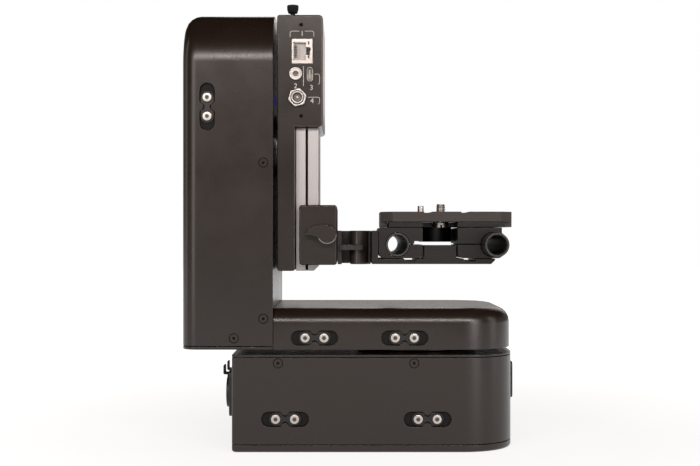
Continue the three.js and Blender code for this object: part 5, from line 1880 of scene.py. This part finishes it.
@dataclass
class RodPlatform(SubAssembly):
    """The rod base, the rod clamps, the rods and the camera plate with its screw and pin."""

    edge: float = 0.3
    rod_radius: float = 7.5
    rod_bore: float = 6.2
    rod_ease: float = 0.3
    ring_inset: float = 0.3
    ring_depth: float = 0.2
    rod_lining: Flat = (0.15, 0.01)
    lining_inset: float = 0.5
    # The sides of the black sheets of painted shade in the slits, from the left clamp's inner face
    # and from the right one's, then their heights from the rods' middle and their depths in the frame.
    left_slit_shade: Flat = (-6.0, -5.4)
    right_slit_shade: Flat = (0.5, 13.5)
    slit_shade_heights: Flat = (-0.1, 1.2)
    slit_shade_depths: Flat = (-60.0, -35.0)
    # The stop, from the clamps beside it, the bridge's top and the bridge's back.
    stop_gap: float = 0.3
    stop_drop: float = 3.5
    stop_depths: Flat = (2.4, 0.4)
    stop_ease: float = 0.2
    head_radius: float = 5.15
    head_height: float = 3.4
    head_ease: float = 0.4
    slot: float = 0.65
    slot_depth: float = 1.7
    slot_ease: float = 0.2
    slot_steps: int = 30
    shank: float = 3.05
    shank_inset: float = 0.6
    thread_pitch: float = 1.27
    thread_length: float = 9.0
    pin_ease: float = 0.5
    pin_steps: int = 5

    def build(self) -> None:
        """Builds and dresses the platform."""
        for node in ("rod_base", "left_rod_clamp", "right_rod_clamp", "bridge_plate"):
            self.eased(node, self.finishes.milled, self.edge)
        self.eased("camera_plate", self.finishes.plate, self.edge)
        for node in ("left_rod", "right_rod"):
            self.rod(node)
        self.slit_shade_and_stop()
        self.screw()
        self.pin()

    def slit_shade_and_stop(self) -> None:
        """Thin black sheets of painted shade in the slits of the clamps, and the stop behind the round lock
        boss.
        """
        left = self.size("left_rod_clamp")[1].x
        right = self.size("right_rod_clamp")[0].x
        low, high = (self.middle("left_rod").z + place for place in self.slit_shade_heights)
        # The pads are painted shade: black sheets that close the slits to the light.
        pads = Shape()
        for side, (start, end) in ((left, self.left_slit_shade), (right, self.right_slit_shade)):
            outline = rectangle(side + start, low, side + end, high)
            pads.add(extrusion(Axis.Y, outline, *self.slit_shade_depths))
        self.put("clamp_slit_shade", pads, self.finishes.black_plastic_and_shade, "rod_base")
        low, high = self.size("bridge_plate")
        outline = rectangle(left + self.stop_gap, low.z, right - self.stop_gap, high.z - self.stop_drop)
        start, end = (high.y - depth for depth in self.stop_depths)
        stop = extrusion(Axis.Y, outline, start, end, ease=self.stop_ease)
        self.put("lock_boss_stop", stop, self.finishes.bar, "bridge_plate")

    def rod(self, node: str) -> None:
        """A drawn tube with turned ends and a dark bore.

        Args:
            node: The tube's node.
        """
        low, high = self.size(node)
        x, z = self.middle(node).x, self.middle(node).z
        outer, inner = self.rod_radius, self.rod_bore
        halfway = (inner, (low.y + high.y) / 2)
        start, end = low.y + self.skin, high.y - self.skin
        ends = [(inner, start), (outer, start), (outer, end), (inner, end)]
        ring = eased_profile([halfway, *ends, halfway], self.rod_ease)
        tube = turning(Axis.Y, ring, x, z, FINE_FLATS)
        self.put(f"{node}_tube", tube, self.finishes.tube, node, [node])
        rings = Shape()
        for face, depth in ((low.y, self.ring_depth), (high.y, -self.ring_depth)):
            profile = tube_profile(inner + self.ring_inset, outer - self.ring_inset, face, face + depth)
            rings.add(turning(Axis.Y, profile, x, z, FINE_FLATS))
        self.put(f"{node}_ends", rings, self.finishes.tube_end, node)
        near, far = (inner - wall for wall in self.rod_lining)
        profile = tube_profile(near, far, low.y + self.lining_inset, high.y - self.lining_inset)
        lining = turning(Axis.Y, profile, x, z, FINE_FLATS)
        self.put(f"{node}_lining", lining, self.finishes.lining, node)

    def screw(self) -> None:
        """The camera screw: threaded shank, and a round head with a slot under it."""
        node = "camera_screw"
        low, high = self.size(node)
        x, y = self.middle(node).x, self.middle(node).y
        top, split = low.z + self.head_height, low.z + self.slot_depth
        radius = self.head_radius
        head = turning(Axis.Z, eased_profile(bar_profile(radius, split, top), self.head_ease), x, y)
        lean = math.asin(self.slot / radius)
        for way in (0, math.pi):
            start, end = way - QUARTER_TURN + lean, way + QUARTER_TURN - lean
            half = arc(x, y, radius, start, end, self.slot_steps)
            head.add(extrusion(Axis.Z, half, low.z, split - self.skin, ease=self.slot_ease, both=False))
        start = high.z - self.thread_length
        plain = bar_profile(self.shank - self.shank_inset, top + self.skin, start)
        head.add(turning(Axis.Z, plain, x, y, MEDIUM_FLATS))
        head.add(threaded(Axis.Z, x, y, start + self.skin, high.z, self.shank, self.thread_pitch))
        self.put("camera_screw_thread", head, self.finishes.steel, node, [node])

    def pin(self) -> None:
        """The locating pin with its round top."""
        node = "locating_pin"
        low, high = self.size(node)
        x, y = self.middle(node).x, self.middle(node).y
        bar = bar_profile((high.x - low.x) / 2, low.z, high.z)
        shape = turning(Axis.Z, eased_profile(bar, self.pin_ease, self.pin_steps), x, y)
        self.put("locating_pin_turned", shape, self.finishes.steel, node, [node])


@dataclass(frozen=True)
class Softbox:
    """A soft rectangular lamp: where it hangs and its size in millimetres, its power in watts."""

    name: str
    place: tuple[float, float, float]
    size: Flat
    power: float


@dataclass
class Studio:
    """The camera, the lamps, the floor and the white surroundings.

    The camera's numbers come from fitting the photograph's view: where the eye stands, and the
    focal length and the optical centre in pixels.
    """

    eye: tuple[float, float, float] = (-49.0, -860.0, 138.05)
    focal_pixels: float = 1250.0
    frame_width: float = 700.0
    frame_height: float = 466.0
    centre_x: float = 345.0
    centre_y: float = 237.0
    sensor: float = 36.0
    near_clip: float = 10.0
    # What the lamps face.
    target: tuple[float, float, float] = (-40.0, 0.0, 130.0)
    softboxes: tuple[Softbox, ...] = (
        Softbox("front_left_softbox", (-1050, -1450, 480), (500, 900), 5),
        Softbox("front_right_softbox", (950, -1450, 460), (500, 900), 8),
        Softbox("high_strip", (-60, -1250, 700), (1500, 60), 13),
        Softbox("right_softbox", (1300, -260, 300), (300, 1100), 2.5),
        Softbox("left_softbox", (-1300, 60, 420), (300, 1100), 1.5),
        Softbox("back_softbox", (300, 1500, 700), (1200, 700), 3),
    )
    floor_size: float = 9000.0
    floor_heights: Flat = (-2.0, -0.05)
    floor_near: float = 150.0
    floor_far: float = 600.0
    floor_shade: str = "8c8b8a"
    floor_own_light: float = 0.80
    white: str = "ffffff"
    warm: str = "fff6f1"
    ambient: float = 0.2
    # Between which slopes of a ray the sky darkens upwards, and its light overhead.
    sky_span: Flat = (0.2, 0.36)
    sky_top: float = 0.02
    # The same from in front to the sides, and from the sides to behind.
    front_span: Flat = (-0.92, -0.74)
    back_span: Flat = (-0.1, 0.4)
    front_sky: float = 0.2
    side_sky: float = 0.04
    back_sky: float = 0.22

    def build(self) -> None:
        """Sets up the view, the light and the floor."""
        self.camera()
        for softbox in self.softboxes:
            self.lamp(softbox)
        self.floor()
        self.surroundings()
        bpy.context.scene.view_settings.view_transform = "Standard"

    def camera(self) -> None:
        """A level camera that looks along Y, framed as the photograph is."""
        data = bpy.data.cameras.new("studio_camera")
        data.sensor_width = self.sensor
        data.lens = self.focal_pixels / self.frame_width * self.sensor
        data.shift_x = (self.frame_width / 2 - self.centre_x) / self.frame_width
        data.shift_y = (self.centre_y - self.frame_height / 2) / self.frame_width
        data.clip_start = self.near_clip * MM
        camera = bpy.data.objects.new("studio_camera", data)
        camera.location = [value * MM for value in self.eye]
        camera.rotation_euler = (QUARTER_TURN, 0, 0)
        bpy.context.scene.collection.objects.link(camera)
        bpy.context.scene.camera = camera

    def lamp(self, softbox: Softbox) -> None:
        """Hangs a lamp so that it faces the head.

        Args:
            softbox: The lamp.
        """
        data = bpy.data.lights.new(softbox.name, "AREA")
        data.shape = "RECTANGLE"
        data.size, data.size_y = (side * MM for side in softbox.size)
        data.energy = softbox.power
        data.color = linear(self.warm)[:3]
        lamp = bpy.data.objects.new(softbox.name, data)
        lamp.location = [value * MM for value in softbox.place]
        aim = Vector(self.target) - Vector(softbox.place)
        lamp.rotation_euler = aim.to_track_quat("-Z", "Y").to_euler()
        bpy.context.scene.collection.objects.link(lamp)

    def seen(self, tree: Tree) -> Socket:
        """Finds the rays that show the background: the camera's, mirrored and clear ones.

        Args:
            tree: The nodes.

        Returns:
            One for those rays and nought for others.
        """
        rays = add_node(tree, "ShaderNodeLightPath")
        found = rays.outputs["Is Camera Ray"]
        for kind in ("Is Glossy Ray", "Is Transmission Ray"):
            links = {0: found, 1: rays.outputs[kind]}
            found = add_node(tree, "ShaderNodeMath", {"operation": "MAXIMUM"}, links).outputs[0]
        return found

    def floor(self) -> None:
        """A plain pale floor: white where it is seen, and dimmed only by the head's shadow."""
        half = self.floor_size / 2
        shape = extrusion(Axis.Z, rectangle(-half, -half, half, half), *self.floor_heights)
        paper = bpy.data.materials.new("pale_paper_floor")
        paper.use_nodes = True
        tree = paper.node_tree
        tree.nodes.clear()
        place = add_node(tree, "ShaderNodeTexCoord").outputs["Object"]
        length = add_node(tree, "ShaderNodeVectorMath", {"operation": "LENGTH"}, {0: place})
        settings = {
            "From Min": self.floor_near * MM,
            "From Max": self.floor_far * MM,
            "To Min": self.floor_own_light,
            "To Max": 1.0,
        }
        rise = add_node(tree, "ShaderNodeMapRange", settings, {"Value": length.outputs["Value"]})
        links = {0: rise.outputs["Result"], 1: self.seen(tree)}
        own = add_node(tree, "ShaderNodeMath", {"operation": "MULTIPLY"}, links).outputs[0]
        glow = add_node(tree, "ShaderNodeEmission", {"Color": linear(self.white)}, {"Strength": own})
        matt = add_node(tree, "ShaderNodeBsdfDiffuse", {"Color": linear(self.floor_shade)})
        surface = add_node(tree, "ShaderNodeAddShader", None, {0: glow.outputs[0], 1: matt.outputs[0]})
        add_node(tree, "ShaderNodeOutputMaterial", None, {"Surface": surface.outputs[0]})
        mesh_object("paper_floor", shape, paper)

    def surroundings(self) -> None:
        """White to the camera, white low down in reflections, dark overhead, and dim as light."""
        world = bpy.data.worlds.new("white_surroundings")
        bpy.context.scene.world = world
        world.use_nodes = True
        tree = world.node_tree
        tree.nodes.clear()
        way = add_node(tree, "ShaderNodeTexCoord").outputs["Generated"]
        parts = add_node(tree, "ShaderNodeSeparateXYZ", None, {0: way})
        spans = [("Z", self.sky_span, (1.0, self.sky_top))]
        spans += [("Y", self.front_span, (self.front_sky, self.side_sky))]
        spans += [("Y", self.back_span, (self.side_sky, self.back_sky))]
        made = []
        for part, (start, end), (low, high) in spans:
            settings = {"From Min": start, "From Max": end, "To Min": low, "To Max": high}
            links = {"Value": parts.outputs[part]}
            made.append(add_node(tree, "ShaderNodeMapRange", settings, links).outputs["Result"])
        fall, ahead, behind = made
        around = add_node(tree, "ShaderNodeMath", {"operation": "MAXIMUM"}, {0: ahead, 1: behind})
        links = {0: fall, 1: around.outputs[0]}
        mirrored = add_node(tree, "ShaderNodeMath", {"operation": "MULTIPLY"}, links).outputs[0]
        to_camera = add_node(tree, "ShaderNodeLightPath").outputs["Is Camera Ray"]
        links = {"Value": to_camera, "To Min": mirrored}
        shown = add_node(tree, "ShaderNodeMapRange", {"To Max": 1.0}, links).outputs["Result"]
        links = {"Value": self.seen(tree), "To Max": shown}
        strength = add_node(tree, "ShaderNodeMapRange", {"To Min": self.ambient}, links).outputs["Result"]
        plain = add_node(tree, "ShaderNodeMath", {"operation": "MAXIMUM"}, {0: behind, 1: to_camera})
        settings = {"data_type": "RGBA", MIX_FROM: linear(self.warm), MIX_TO: linear(self.white)}
        colour = add_node(tree, "ShaderNodeMix", settings, {MIX_SHARE: plain.outputs[0]})
        links = {"Color": colour.outputs[MIX_RESULT], "Strength": strength}
        light = add_node(tree, "ShaderNodeBackground", None, links)
        add_node(tree, "ShaderNodeOutputWorld", None, {"Surface": light.outputs[0]})


def main() -> None:
    """Builds the studio and every sub-assembly in order."""
    logging.basicConfig(level=logging.INFO, format="%(name)s: %(message)s")
    Studio().build()
    finishes = Finishes()
    panel = (NetworkSocket, JackSocket, SlimPort, PowerSocket, PanelPrint)
    for maker in (PanBase, Arm, Cradle, *panel, PullKnob, PanelScrews, Carriage, RodPlatform):
        assembly = maker(finishes)
        assembly.build()
        log.info("%s has %d pieces", maker.__name__, len(assembly.made))


if __name__ == "__main__":
    main()
